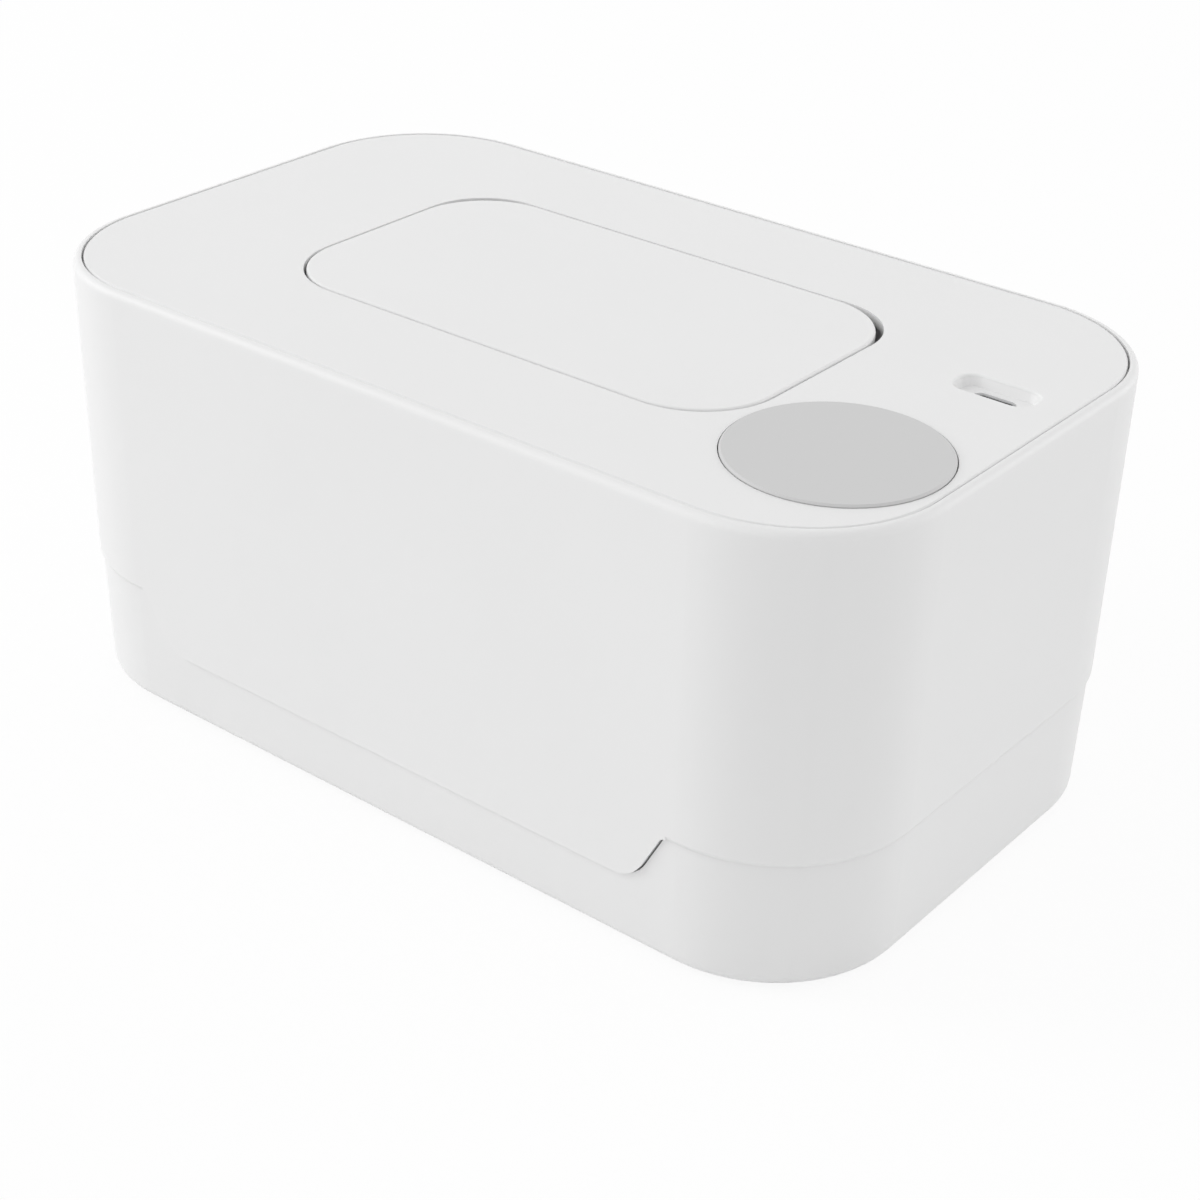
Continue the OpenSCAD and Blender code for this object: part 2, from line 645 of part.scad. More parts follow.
// Chips and coil on the board: [x and y from the port's centre, length, width, height]
chips = [[-18, -15, 7, 7, 1.2], [-17.5, -5.5, 7, 7, 4], [-8.5, -14.5, 5, 6, 1.6], [-9.5, 9, 4, 3, 1], [-3, 9, 3, 1.6, 0.8]];
capacitor_d = 6.3;

module board_parts() {
    color("dimgray") {
        for (c = chips) translate([port_x + c[0], port_y + c[1], 0])
            slab(c[2], c[3], 0.3, board_top_z, board_top_z + c[4]);
        translate([port_x - 8.5, port_y - 7, board_top_z]) rotate_extrude()
            polygon([[0, 0], [capacitor_d / 2, 0], [capacitor_d / 2, 4.8], [capacitor_d / 2 - 0.4, 5.4], [0, 5.4]]);
    }
}

module board_screws() {
    color("silver") for (p = board_posts) translate(p) screw_up(board_screw_d, 3.8, 1.3, board_t + 4.5, board_z);
}

socket_top_z = port_floor_z - 0.3;

module usb_shell() {
    wall = 0.3;
    color("silver") translate([port_x, port_y + socket_y, 0]) difference() {
        slab(socket_l, socket_w, socket_w / 2 - 0.05, board_top_z, socket_top_z);
        slab(socket_l - 2 * wall, socket_w - 2 * wall, socket_w / 2 - wall - 0.05, board_top_z - 1, socket_top_z + 1);
    }
}

module usb_insulator() {
    tongue_top_z = socket_top_z - 0.7;
    color("black") translate([port_x, port_y + socket_y, 0]) {
        slab(socket_l - 1, socket_w - 1, (socket_w - 1) / 2 - 0.05, board_top_z, board_top_z + 1.6);
        slab(6.7, 0.7, 0.3, board_top_z + 1, tongue_top_z);
    }
}

plug_h = 5.4;
plug_w = 5;
lead_d = 1.5;
lead_z = board_z - 3.2;
lead_bend = 3;

module heater_connector() {
    color("ivory") translate([lead_x, port_y + 1.6, 0]) {
        slab(8, plug_w + 3, 0.4, board_z - plug_h, board_z);
    }
}

// Two leads that leave the plug towards the front, turn down and end on the film
module heater_leads() {
    start_y = port_y + 1.6 - (plug_w + 3) / 2;
    turn_y = lead_y + lead_bend;
    color("firebrick") for (s = [-1, 1]) translate([lead_x + s * lead_gap / 2, 0, 0]) {
        translate([0, start_y, lead_z]) rotate([90, 0, 0]) cylinder(d = lead_d, h = start_y - turn_y, $fn = 24);
        translate([0, turn_y, lead_z - lead_bend]) rotate([0, -90, 0]) rotate_extrude(angle = -90, $fn = 24)
            translate([lead_bend, 0]) circle(d = lead_d);
        translate([0, lead_y, film_top_z]) cylinder(d = lead_d, h = lead_z - lead_bend - film_top_z, $fn = 24);
    }
}

touch_wire = 0.6;
touch_r = 3;
touch_inset = 5.8;
display_room = 2.1;
display_l = window_d - 10;
display_w = window_d - 2 * (touch_inset + touch_r + touch_wire / 2 + display_room);
display_h = 7.2;

module display_module() {
    color("black") translate([lens_x, lens_y, 0]) {
        slab(display_l, display_w, 0.8, board_top_z, board_top_z + display_h);
    }
}

module touch_spring() {
    reach = lens_seat_z - board_top_z;
    color("gold") translate([lens_x, lens_y - window_d / 2 + touch_inset, board_top_z + touch_wire / 2])
        coil(touch_wire, touch_r, 6, reach - touch_wire);
}

module lens_gasket() {
    color("dimgray") translate([lens_x, lens_y, 0]) difference() {
        rod(lens_d - 1, lens_seat_z, lens_seat_z + 0.3);
        rod(window_d + 0.6, lens_seat_z - 1, lens_seat_z + 1);
    }
}

module display_lens() {
    bevel = 0.4;
    color("silver") translate([lens_x, lens_y, lens_seat_z + 0.3]) rotate_extrude($fn = 128)
        polygon([[0, 0], [lens_d / 2, 0], [lens_d / 2, lens_t - bevel], [lens_d / 2 - bevel, lens_t], [0, lens_t]]);
}

module hinge_pins() {
    color("silver") for (s = [-1, 1]) translate([lid_x + s * (hinge_x + hinge_span / 2), hinge_y, hinge_z])
        rotate([0, 90, 0]) cylinder(d = pin_d, h = hinge_span, center = true);
}

spring_wire = 0.45;
spring_r = pin_d / 2 + 0.5;
spring_l = 4.2;

module hinge_springs() {
    turns = 5.785;
    for (s = [0, 1]) color("silver") translate([lid_x, 0, 0]) mirror([s, 0, 0])
        translate([hinge_x + lug_t + 0.4 + spring_l, hinge_y, hinge_z]) rotate([90, 0, -90])
            coil(spring_wire, spring_r, turns, spring_l - spring_wire, 6.5);
}

latch_l = 11;
latch_w = 8.4;
latch_wall = 1;
latch_y = 5 - lid_w / 2;
latch_top_z = well_z + 10.3;
plunger_z = well_z + latch_wall + 3.4;
plunger_top_z = latch_top_z + 1;
tongue_l = 4;
tongue_w = 2.4;
tongue_z = plunger_top_z - 2.7;
jaw_gap = 0.5;

module latch_housing() {
    color("lightgray") translate([lid_x, latch_y, 0]) difference() {
        slab(latch_l, latch_w, 1, well_z, latch_top_z);
        slab(latch_l - 2 * latch_wall, latch_w - 2 * latch_wall, 0.5, well_z + latch_wall, latch_top_z + 1);
    }
}

module latch_plunger() {
    play = 0.2;
    color("white") translate([lid_x, latch_y, 0]) difference() {
        slab(latch_l - 2 * (latch_wall + play), latch_w - 2 * (latch_wall + play), 0.5, plunger_z, plunger_top_z);
        translate([0, 0, tongue_z - fit + 5]) cube([latch_l, tongue_w + 2 * jaw_gap, 10], center = true);
    }
}

module latch_spring() {
    wire = 0.5;
    color("silver") translate([lid_x, latch_y, well_z + latch_wall + wire / 2])
        coil(wire, 2, 4, plunger_z - well_z - latch_wall - wire);
}

peg_places = [for (s = [-1, 1]) [s * (collar_l / 2 - 10), mouth_y]];
liner_t = 1.5;
liner_z = lid_z - liner_t;
seal_w = 3;
seal_groove = 0.5;

module flip_lid() {
    edge_z = lid_top_z - lid_edge_r;
    section = concat([[0.3, lid_z], [0, lid_z + 0.3]], arc(lid_edge_r, edge_z, lid_edge_r, 180, 90));
    knuckle_l = hinge_span - 2 * lug_t - spring_l - 1.6;
    knuckle_x = hinge_x + hinge_span - lug_t - 0.4 - knuckle_l / 2;
    color("whitesmoke") translate([lid_x, 0, 0]) difference() {
        union() {
            difference() {
                swept_solid(lid_l, lid_w, lid_r, section);
                for (s = [-1, 1]) translate([s * (hinge_x + hinge_span / 2), hinge_y, hinge_z])
                    rotate([0, 90, 0]) cylinder(r = lug_r + 0.25, h = hinge_span + 0.8, center = true);
            }
            for (s = [-1, 1]) translate([s * knuckle_x, hinge_y, hinge_z]) rotate([90, 0, 90])
                linear_extrude(knuckle_l, center = true) {
                    circle(lug_r);
                    translate([0, lug_r / 2 + 0.2]) square([2 * lug_r, lug_r + 0.4], center = true);
                }
            translate([0, latch_y, 0]) slab(tongue_l, tongue_w, 0.5, tongue_z, lid_z + overlap);
            for (p = peg_places) translate(p) rod(2.5, liner_z, lid_z + overlap);
        }
        for (s = [-1, 1]) translate([s * knuckle_x, hinge_y, hinge_z]) rotate([0, 90, 0])
            cylinder(d = pin_d + 2 * pin_fit, h = knuckle_l + 1, center = true);
    }
}

module lid_liner() {
    color("gainsboro") translate([lid_x, 0, 0]) difference() {
        translate([0, mouth_y, 0]) slab(collar_l + 3, collar_w + 3, collar_r + 1.5, liner_z, lid_z);
        translate([0, mouth_y, 0]) difference() {
            slab(collar_l + 1.2, collar_w + 1.2, collar_r + 0.6, liner_z - 1, liner_z + seal_groove);
            slab(collar_l + 0.8 - 2 * seal_w, collar_w + 0.8 - 2 * seal_w, collar_r + 0.4 - seal_w,
                liner_z - 2, liner_z + seal_groove + 1);
        }
        for (p = peg_places) translate(p) rod(2.6, liner_z - 1, lid_z + 1);
    }
}

module lid_seal() {
    color("gray") translate([lid_x, mouth_y, 0]) difference() {
        slab(collar_l + 1, collar_w + 1, collar_r + 0.5, collar_top_z + fit, liner_z + seal_groove);
        slab(collar_l + 1 - 2 * seal_w, collar_w + 1 - 2 * seal_w, collar_r + 0.5 - seal_w,
            collar_top_z - 1, liner_z + seal_groove + 1);
    }
}

base_shell();
wipe_tray();
tray_screws();
rubber_feet();
outer_shell();
top_panel();
inner_cover();
cover_screws();
wipe_outlet();
heater_plate();
heater_film();
heater_insulation();
thermal_fuse();
temperature_sensor();
control_board();
board_parts();
board_screws();
usb_shell();
usb_insulator();
heater_connector();
heater_leads();
display_module();
touch_spring();
lens_gasket();
display_lens();
hinge_pins();
hinge_springs();
latch_housing();
latch_plunger();
latch_spring();
flip_lid();
lid_liner();
lid_seal();
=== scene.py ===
import math

import bpy
from bpy.props import FloatProperty, FloatVectorProperty, IntProperty, PointerProperty
from mathutils import Matrix, Vector


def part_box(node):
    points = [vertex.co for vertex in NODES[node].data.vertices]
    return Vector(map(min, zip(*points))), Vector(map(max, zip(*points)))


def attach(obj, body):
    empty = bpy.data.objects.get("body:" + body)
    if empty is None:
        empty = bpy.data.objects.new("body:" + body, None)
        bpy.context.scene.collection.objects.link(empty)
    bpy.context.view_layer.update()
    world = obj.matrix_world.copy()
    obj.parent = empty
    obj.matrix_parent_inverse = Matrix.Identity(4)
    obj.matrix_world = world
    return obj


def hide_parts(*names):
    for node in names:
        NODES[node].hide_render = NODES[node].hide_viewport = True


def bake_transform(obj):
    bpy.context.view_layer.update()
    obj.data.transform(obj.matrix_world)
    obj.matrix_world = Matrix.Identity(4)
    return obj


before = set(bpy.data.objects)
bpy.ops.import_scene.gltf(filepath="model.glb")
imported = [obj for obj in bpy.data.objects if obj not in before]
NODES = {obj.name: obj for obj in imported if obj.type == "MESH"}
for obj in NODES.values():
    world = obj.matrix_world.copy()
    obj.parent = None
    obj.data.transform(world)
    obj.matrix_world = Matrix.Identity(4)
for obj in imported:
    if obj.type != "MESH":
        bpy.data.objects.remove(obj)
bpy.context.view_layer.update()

bl_info = {
    "name": "Wipe warmer looks",
    "version": (1, 0, 0),
    "blender": (4, 5, 0),
    "location": "3D View > Sidebar > Wipe warmer",
    "description": "Finishes, springs, screws and studio for a baby wipe warmer built round its packed frame",
    "category": "Object",
}

MM = 0.001

# Edges of a grown mesh that turn by more than this stay sharp.
SHARP_ANGLE = math.radians(38)
# The CAD springs' wire has six sides and lies on a flat one. This is its height as a share of its diameter.
CAD_WIRE_HEIGHT = math.cos(math.pi / 6)
# Points in one turn of a spring, and in one turn of a screw's thread.
SPRING_STEPS = 28
THREAD_STEPS = 20
# The floor reaches past the camera's view, and stays just clear of the feet's undersides.
FLOOR_HALF = 6.0
FLOOR_DROP = 0.02 * MM
LAMP_AIM = Vector((0, 0, 0.05))
SENSOR_WIDTH = 36.0


def grey(level):
    """Linear colour of a neutral tone given as an 8-bit screen value."""
    share = level / 255
    linear = share / 12.92 if share <= 0.04045 else ((share + 0.055) / 1.055) ** 2.4
    return (linear, linear, linear)


def colour_property(name, description, default):
    """A colour that the user can change in the sidebar."""
    return FloatVectorProperty(name=name, description=description, default=default, subtype="COLOR",
                               size=3, min=0.0, max=1.0)


def length_property(name, description, default):
    """A length in metres that the user can change in the sidebar."""
    return FloatProperty(name=name, description=description, default=default, min=0.0, unit="LENGTH",
                         precision=5)


class WarmerView(bpy.types.PropertyGroup):
    """Where the camera stands."""

    azimuth: FloatProperty(name="Azimuth", description="Turn from the front towards the right end",
                           default=math.radians(37.938), subtype="ANGLE")
    elevation: FloatProperty(name="Elevation", description="Height above the horizon",
                             default=math.radians(29.49), subtype="ANGLE")
    roll: FloatProperty(name="Roll", description="Lean of the camera", default=math.radians(1.654),
                        subtype="ANGLE")
    distance: length_property("Distance", "From the camera to its aim", 0.5345)
    aim: FloatVectorProperty(name="Aim", description="Point that the camera looks at",
                             default=(0.00983, -0.00503, 0.03407), subtype="TRANSLATION", unit="LENGTH")
    lens: FloatProperty(name="Lens", description="Focal length on a 36 mm sensor", default=71.41, min=1.0,
                        unit="CAMERA")


class WarmerStudio(bpy.types.PropertyGroup):
    """Floor and light."""

    floor_colour: colour_property("Floor", "Colour of the floor", grey(250))
    floor_share: FloatProperty(name="Floor white", default=0.9, min=0.0, max=1.0, subtype="FACTOR",
                               description="Share of plain white the camera sees in the floor")
    sky: FloatProperty(name="Sky", description="Strength of the even light from all round", default=0.775,
                       min=0.0)
    left_lamp: FloatProperty(name="Left lamp", description="Power of the soft box at the front left",
                             default=17.0, min=0.0, unit="POWER")
    right_lamp: FloatProperty(name="Right lamp", description="Power of the soft box at the back right",
                              default=9.8, min=0.0, unit="POWER")
    top_lamp: FloatProperty(name="Top lamp", description="Power of the soft box overhead",
                            default=0.4, min=0.0, unit="POWER")


class WarmerPlastics(bpy.types.PropertyGroup):
    """The white casing."""

    casing: colour_property("Casing", "Outer shell, panel and lid", grey(236))
    base: colour_property("Base", "Lower casing", grey(235.5))
    tray: colour_property("Tray", "Inner tray", grey(240))
    inner: colour_property("Inner parts", "Inner cover and liner", grey(232))
    lens: colour_property("Lens", "Round lens over the display", grey(206.5))
    glow: FloatProperty(name="Glow", default=0.35, min=0.0, max=1.0, subtype="FACTOR",
                        description="Share of light that passes through the surface of the casing")
    lens_roughness: FloatProperty(name="Lens roughness", description="Roughness of the lens", default=0.5,
                                  min=0.0, max=1.0)
    grain: length_property("Grain", "Size of the moulded texture", 0.45 * MM)
    grain_depth: length_property("Grain depth", "Depth of the moulded texture", 0.004 * MM)
    roughness: FloatProperty(name="Roughness", description="Roughness of the satin casing", default=0.46,
                             min=0.0, max=1.0)


class WarmerTrim(bpy.types.PropertyGroup):
    """Rubber, silicone, metal and the electronics."""

    rubber: colour_property("Rubber", "Feet", grey(86))
    silicone: colour_property("Silicone", "Outlet and seal", grey(214))
    foam: colour_property("Foam", "Insulation behind the heater", grey(120))
    steel: colour_property("Steel", "Screws, pins and socket", (0.56, 0.57, 0.58))
    wire: colour_property("Spring wire", "Springs of the hinge and latch", (0.42, 0.42, 0.43))
    gold: colour_property("Gold", "Contacts and touch spring", (0.86, 0.61, 0.22))
    aluminium: colour_property("Aluminium", "Heater plate", (0.76, 0.77, 0.78))
    film: colour_property("Film", "Polyimide of the heating film", (0.50, 0.17, 0.02))
    mask: colour_property("Solder mask", "Circuit board", (0.012, 0.10, 0.04))
    lead: colour_property("Live lead", "Insulation of the first heater lead", (0.42, 0.02, 0.015))
    wire_sides: IntProperty(name="Wire sides", description="Facets round a spring's wire", default=12, min=6)


class WarmerFasteners(bpy.types.PropertyGroup):
    """Screws, springs and contacts."""

    shank: length_property("Shank", "Diameter of the cover's and tray's screws", 2.6 * MM)
    head: length_property("Head", "Height of those screws' heads", 1.8 * MM)
    board_head: length_property("Board head", "Height of the board screws' heads", 1.3 * MM)
    board_shank: length_property("Board shank", "Diameter of the board's screws", 2.0 * MM)
    pitch: length_property("Pitch", "Distance between turns of a screw's thread", 0.9 * MM)
    hinge_wire: length_property("Hinge wire", "Diameter of the hinge springs' wire", 0.45 * MM)
    latch_wire: length_property("Latch wire", "Diameter of the latch spring's wire", 0.5 * MM)
    touch_wire: length_property("Touch wire", "Diameter of the touch spring's wire", 0.6 * MM)
    leg: length_property("Leg", "Length of the hinge springs' legs", 6.5 * MM)
    contact_pitch: length_property("Contact pitch", "Distance between the socket's contacts", 0.5 * MM)


class Value:
    """A node's output that takes part in Python arithmetic."""

    def __init__(self, graph, socket):
        self.graph = graph
        self.socket = socket

    def _math(self, operation, first, second=0.0):
        return self.graph.node("ShaderNodeMath", {"operation": operation}, {0: first, 1: second})

    def __add__(self, other):
        return self._math("ADD", self, other)

    __radd__ = __add__

    def __sub__(self, other):
        return self._math("SUBTRACT", self, other)

    def __rsub__(self, other):
        return self._math("SUBTRACT", other, self)

    def __mul__(self, other):
        return self._math("MULTIPLY", self, other)

    __rmul__ = __mul__

    def __truediv__(self, other):
        return self._math("DIVIDE", self, other)

    def __gt__(self, other):
        return self._math("GREATER_THAN", self, other)

    def __lt__(self, other):
        return self._math("LESS_THAN", self, other)

    def root(self):
        """Square root of the value."""
        return self._math("SQRT", self)

    def repeat(self, period):
        """The value's remainder over the period, from 0 up to it."""
        return self._math("FLOORED_MODULO", self, period)

    def size(self):
        """The value without its sign."""
        return self._math("ABSOLUTE", self)

    def most(self, other):
        """The larger of two values."""
        return self._math("MAXIMUM", self, other)

    def least(self, other):
        """The smaller of two values."""
        return self._math("MINIMUM", self, other)

    def floor(self):
        """The whole number below the value."""
        return self._math("FLOOR", self)

    def sine(self):
        """Sine of the value."""
        return self._math("SINE", self)

    def cosine(self):
        """Cosine of the value."""
        return self._math("COSINE", self)


def length_of(across):
    """Length of a pair of coordinates."""
    return (across[0] * across[0] + across[1] * across[1]).root()


class Graph:
    """A node tree under construction."""

    def __init__(self, tree):
        self.tree = tree

    def node(self, kind, settings=None, inputs=None, output=0):
        """Adds a node: its settings first, then the values or links of its sockets."""
        made = self.tree.nodes.new(kind)
        for key, value in (settings or {}).items():
            setattr(made, key, value)
        for key, value in (inputs or {}).items():
            self.join(value, made.inputs[key])
        return Value(self, made.outputs[output])

    def join(self, value, socket):
        """Links a value to a socket, or several to one that takes them, or sets a plain constant on it."""
        if isinstance(value, Value):
            self.tree.links.new(value.socket, socket)
        elif isinstance(value, list):
            for item in value:
                self.tree.links.new(item.socket, socket)
        elif socket.type == "RGBA" and len(value) == 3:
            socket.default_value = (*value, 1.0)
        else:
            socket.default_value = value


class Finish(Graph):
    """A material under construction round one Principled shader."""

    def __init__(self, name, sockets=None):
        self.material = bpy.data.materials.new(name)
        self.material.use_nodes = True
        super().__init__(self.material.node_tree)
        self.shader = self.tree.nodes["Principled BSDF"]
        self.set(sockets or {})
        self.place = self.node("ShaderNodeTexCoord", output="Object")
        self.facing = self.node("ShaderNodeTexCoord", output="Normal")

    def set(self, sockets):
        """Sets or links the shader's sockets by their names."""
        for key, value in sockets.items():
            self.join(value, self.shader.inputs[key])

    def axis(self, letter, vector=None):
        """One coordinate of the object's own space in metres, or of another vector."""
        return self.node("ShaderNodeSeparateXYZ", None, {0: vector or self.place}, letter)

    def reach(self, centre, mirrored=False):
        """Distance in plan from a point, or from it and its mirror images across both axes."""
        across = [self.axis(letter) for letter in "XY"]
        if mirrored:
            across = [value.size() for value in across]
        return length_of([value - place for value, place in zip(across, centre)])

    def grid_reach(self, pitch, shift=0.0):
        """Distance in plan from the nearest point of a square grid."""
        return length_of([(self.axis(letter) + shift).repeat(pitch) - pitch / 2 for letter in "XY"])

    def stripes(self, along, pitch, width):
        """1 on stripes of the given width, one to each pitch, and 0 between them."""
        return (along.repeat(pitch) - pitch / 2).size() < width / 2

    def within(self, box, margin=0.3 * MM):
        """1 inside a box's plan and 0 outside it."""
        inside = 1.0
        for letter, low, high in zip("XY", box[0], box[1]):
            inside = ((self.axis(letter) - (low + high) / 2).size() < (high - low) / 2 + margin) * inside
        return inside

    def noise(self, size, detail=2.0, place=None, roughness=0.5):
        """Cloudy noise from 0 to 1, with features of about the given size in metres."""
        return self.node("ShaderNodeTexNoise", None, {"Vector": place or self.place, "Scale": 1 / size,
                                                      "Detail": detail, "Roughness": roughness}, "Fac")

    def cells(self, size):
        """Distance to the middle of the nearest of many cells, about 0 to 1."""
        return self.node("ShaderNodeTexVoronoi", None, {"Vector": self.place, "Scale": 1 / size}, "Distance")

    def stretched(self, x=1.0, y=1.0, z=1.0):
        """The object's coordinates scaled along each axis."""
        return self.node("ShaderNodeVectorMath", {"operation": "MULTIPLY"}, {0: self.place, 1: (x, y, z)})

    def blend(self, share, first, second):
        """Mixes two colours."""
        return self.node("ShaderNodeMix", {"data_type": "RGBA"}, {0: share, 6: first, 7: second}, 2)

    def bump(self, height, depth, normal=None):
        """Normal of a relief whose height runs from 0 to 1 over the given depth in metres."""
        inputs = {"Strength": 1.0, "Distance": depth, "Height": height}
        if normal:
            inputs["Normal"] = normal
        return self.node("ShaderNodeBump", None, inputs, "Normal")


class Growth(Graph):
    """A Geometry Nodes tree under construction, with a named input for each of its sizes."""

    def __init__(self, name, **sizes):
        super().__init__(bpy.data.node_groups.new(name, "GeometryNodeTree"))
        face = self.tree.interface
        for flow in ("INPUT", "OUTPUT"):
            face.new_socket("Geometry", in_out=flow, socket_type="NodeSocketGeometry")
        for key, value in sizes.items():
            kind = "NodeSocketInt" if isinstance(value, int) else "NodeSocketFloat"
            face.new_socket(key, in_out="INPUT", socket_type=kind).default_value = value
        group = self.tree.nodes.new("NodeGroupInput")
        self.host = Value(self, group.outputs["Geometry"])
        self.sizes = {key: Value(self, group.outputs[key]) for key in sizes}

    def vector(self, x=0.0, y=0.0, z=0.0):
        """A vector of plain numbers or values."""
        return self.node("ShaderNodeCombineXYZ", None, {"X": x, "Y": y, "Z": z})

    def block(self, size, middle):
        """A rectangular block."""
        made = self.node("GeometryNodeMeshCube", None, {"Size": self.vector(*size)}, "Mesh")
        return self.moved(made, middle)

    def moved(self, geometry, place=(0.0, 0.0, 0.0), turn=(0.0, 0.0, 0.0)):
        """Geometry turned and then set at a place."""
        return self.node("GeometryNodeTransform", None, {
            "Geometry": geometry, "Translation": self.vector(*place), "Rotation": turn})

    def joined(self, *parts):
        """Several geometries as one."""
        return self.node("GeometryNodeJoinGeometry", None, {"Geometry": list(parts)})

    def index(self):
        """The number of each point."""
        return self.node("GeometryNodeInputIndex")

    def equals(self, index, place):
        """1 where the index is the given one, and 0 elsewhere."""
        return self.node("ShaderNodeMath", {"operation": "COMPARE"}, {0: index, 1: place, 2: 0.1})

    def path(self, count, position):
        """A curve of so many points, each at its own position."""
        line = self.node("GeometryNodeCurvePrimitiveLine", None, {"End": (0.0, 0.0, 1.0)})
        line = self.node("GeometryNodeResampleCurve", None, {"Curve": line, "Count": count})
        return self.node("GeometryNodeSetPosition", None, {"Geometry": line, "Position": position})

    def swept(self, curve, radius, sides, scale=1.0):
        """A round section swept along a curve."""
        ring = self.node("GeometryNodeCurvePrimitiveCircle", None, {"Resolution": sides, "Radius": radius})
        return self.node("GeometryNodeCurveToMesh", None, {
            "Curve": curve, "Profile Curve": ring, "Scale": scale, "Fill Caps": True})

    def turned(self, outline, sides=40):
        """A body turned about Z, its outline a list of radius and height pairs from its foot to its top."""
        index = self.index()
        radius, height = 0.0, 0.0
        for place, pair in enumerate(outline):
            chosen = self.equals(index, float(place))
            radius = chosen * pair[0] + radius
            height = chosen * pair[1] + height
        return self.swept(self.path(len(outline), self.vector(z=height)), 1.0, sides, radius)

    def coil(self, wire, radius, turns, height, leg, closed):
        """Count of points, the two radial coordinates and the height along a spring with closed ends."""
        count = (turns * SPRING_STEPS).floor() + 3.0
        index = self.index()
        turn = ((index - 1.0) / SPRING_STEPS).most(0.0).least(turns)
        angle = turn * math.tau
        free_turns = turns - 2.0 * closed
        slope = (height - 2.0 * closed * wire) / free_turns
        rise = turn.least(closed) * wire + (turn - closed).most(0.0).least(free_turns) * slope
        rise = rise + (turn - turns + closed).most(0.0) * wire
        swing = (self.equals(index, count - 1.0) - self.equals(index, 0.0)) * leg
        return (count, angle.cosine() * radius - angle.sine() * swing,
                angle.sine() * radius + angle.cosine() * swing, rise)

    def set_at(self, points, instance):
        """Copies of a geometry at points."""
        return self.node("GeometryNodeInstanceOnPoints", None, {"Points": points, "Instance": instance})

    def row(self, instance, y):
        """Copies of a geometry in a row along X, as the tree's Count and Pitch say."""
        count, pitch = self.sizes["Count"], self.sizes["Pitch"]
        line = self.node("GeometryNodeMeshLine", None, {
            "Count": count, "Start Location": self.vector((count - 1.0) * pitch * -0.5, y),
            "Offset": self.vector(pitch)})
        return self.set_at(line, instance)

    def end(self, geometry, material):
        """Makes the copies real, smooths and paints them, and closes the tree."""
        made = self.node("GeometryNodeSetShadeSmooth", None, {"Geometry": geometry})
        made = self.node("GeometryNodeRealizeInstances", None, {"Geometry": made})
        made = self.node("GeometryNodeSetMaterial", None, {"Geometry": made, "Material": material})
        out = self.tree.nodes.new("NodeGroupOutput")
        self.join(made, out.inputs["Geometry"])
        return self.tree


def scaled(colour, factor):
    """A colour made lighter or darker."""
    return tuple(min(1.0, channel * factor) for channel in colour)


def moulded(name, colour, roughness=0.46, grain=0.45 * MM, depth=0.004 * MM, mottle=0.012, coat=0.0,
            glow=0.0, marks=None, mark_depth=0.04 * MM):
    """Moulded plastic: fine eroded texture over slight waves, a faint drift of tone, and tool marks."""
    drift_size, wave_size, wave_depth, glow_depth = 38 * MM, 9 * MM, 0.012 * MM, 1.5 * MM
    made = Finish(name, {"Coat Weight": coat, "Coat Roughness": 0.12, "Subsurface Weight": glow,
                         "Subsurface Radius": (1.0, 1.0, 1.0), "Subsurface Scale": glow_depth})
    drift = made.noise(drift_size, 3.0)
    fine = made.noise(grain, 3.0, roughness=0.6)
    normal = made.bump(fine, depth, made.bump(made.noise(wave_size, 1.0), wave_depth))
    if marks:
        normal = made.bump(marks(made), mark_depth, normal)
    made.set({"Base Color": made.blend(drift, scaled(colour, 1 - mottle), scaled(colour, 1 + mottle)),
              "Roughness": roughness + 0.05 * (fine - 0.5) + 0.06 * (drift - 0.5), "Normal": normal})
    return made.material


def gate_marks(made):
    """Scar of the gate at the middle, inside a witness ring."""
    scar, ring, line = 1.3 * MM, 9 * MM, 0.12 * MM
    away = made.reach((0.0, 0.0))
    return 1.0 - (away < scar) * 0.6 - ((away - ring).size() < line) * 0.4


def pin_marks(made):
    """Rings that a mould's ejector pins leave, on a grid."""
    pitch, radius, line = 31 * MM, 2.2 * MM, 0.1 * MM
    return 1.0 - ((made.grid_reach(pitch, 0.3 * pitch) - radius).size() < line)


def soft_rubber(name, colour, roughness, marks=None):
    """Rubber or silicone: matt, with a fine bloom and any grooves."""
    grain, grain_depth, mark_depth, bloom_size = 0.3 * MM, 0.006 * MM, 0.2 * MM, 6 * MM
    made = Finish(name, {"Sheen Weight": 0.15, "Sheen Roughness": 0.4, "Specular IOR Level": 0.4})
    bloom = made.noise(bloom_size, 4.0)
    normal = made.bump(made.noise(grain), grain_depth)
    if marks:
        normal = made.bump(marks(made), mark_depth, normal)
    made.set({"Base Color": made.blend(bloom, scaled(colour, 0.95), scaled(colour, 1.05)),
              "Roughness": roughness + 0.12 * (bloom - 0.5), "Normal": normal})
    return made.material


def foamed(name, colour, cell):
    """Foam: a skin of many small open cells, with painted shade in their pits."""
    made = Finish(name, {"Roughness": 0.9, "Specular IOR Level": 0.2})
    cells = made.cells(cell)
    # The colour runs from dark in each cell's middle, where the bump sinks it, to light on the rims: painted
    # shade in the pits, over the foam's own grey.
    made.set({"Base Color": made.blend(cells, scaled(colour, 0.55), scaled(colour, 1.25)),
              "Normal": made.bump(cells, 0.35 * cell)})
    return made.material


def drawn_metal(name, colour, roughness, along, streak):
    """Metal with fine marks drawn out along one axis, and patches of slightly duller surface."""
    stretch, depth, patch_size = 0.02, 0.002 * MM, 5 * MM
    made = Finish(name, {"Metallic": 1.0})
    marks = made.noise(streak, 3.0, made.stretched(**{along: stretch}))
    patches = made.noise(patch_size, 3.0)
    made.set({"Base Color": made.blend(marks, scaled(colour, 0.88), scaled(colour, 1.08)),
              "Roughness": roughness + 0.14 * (marks - 0.5) + 0.1 * (patches - 0.5),
              "Normal": made.bump(marks, depth)})
    return made.material


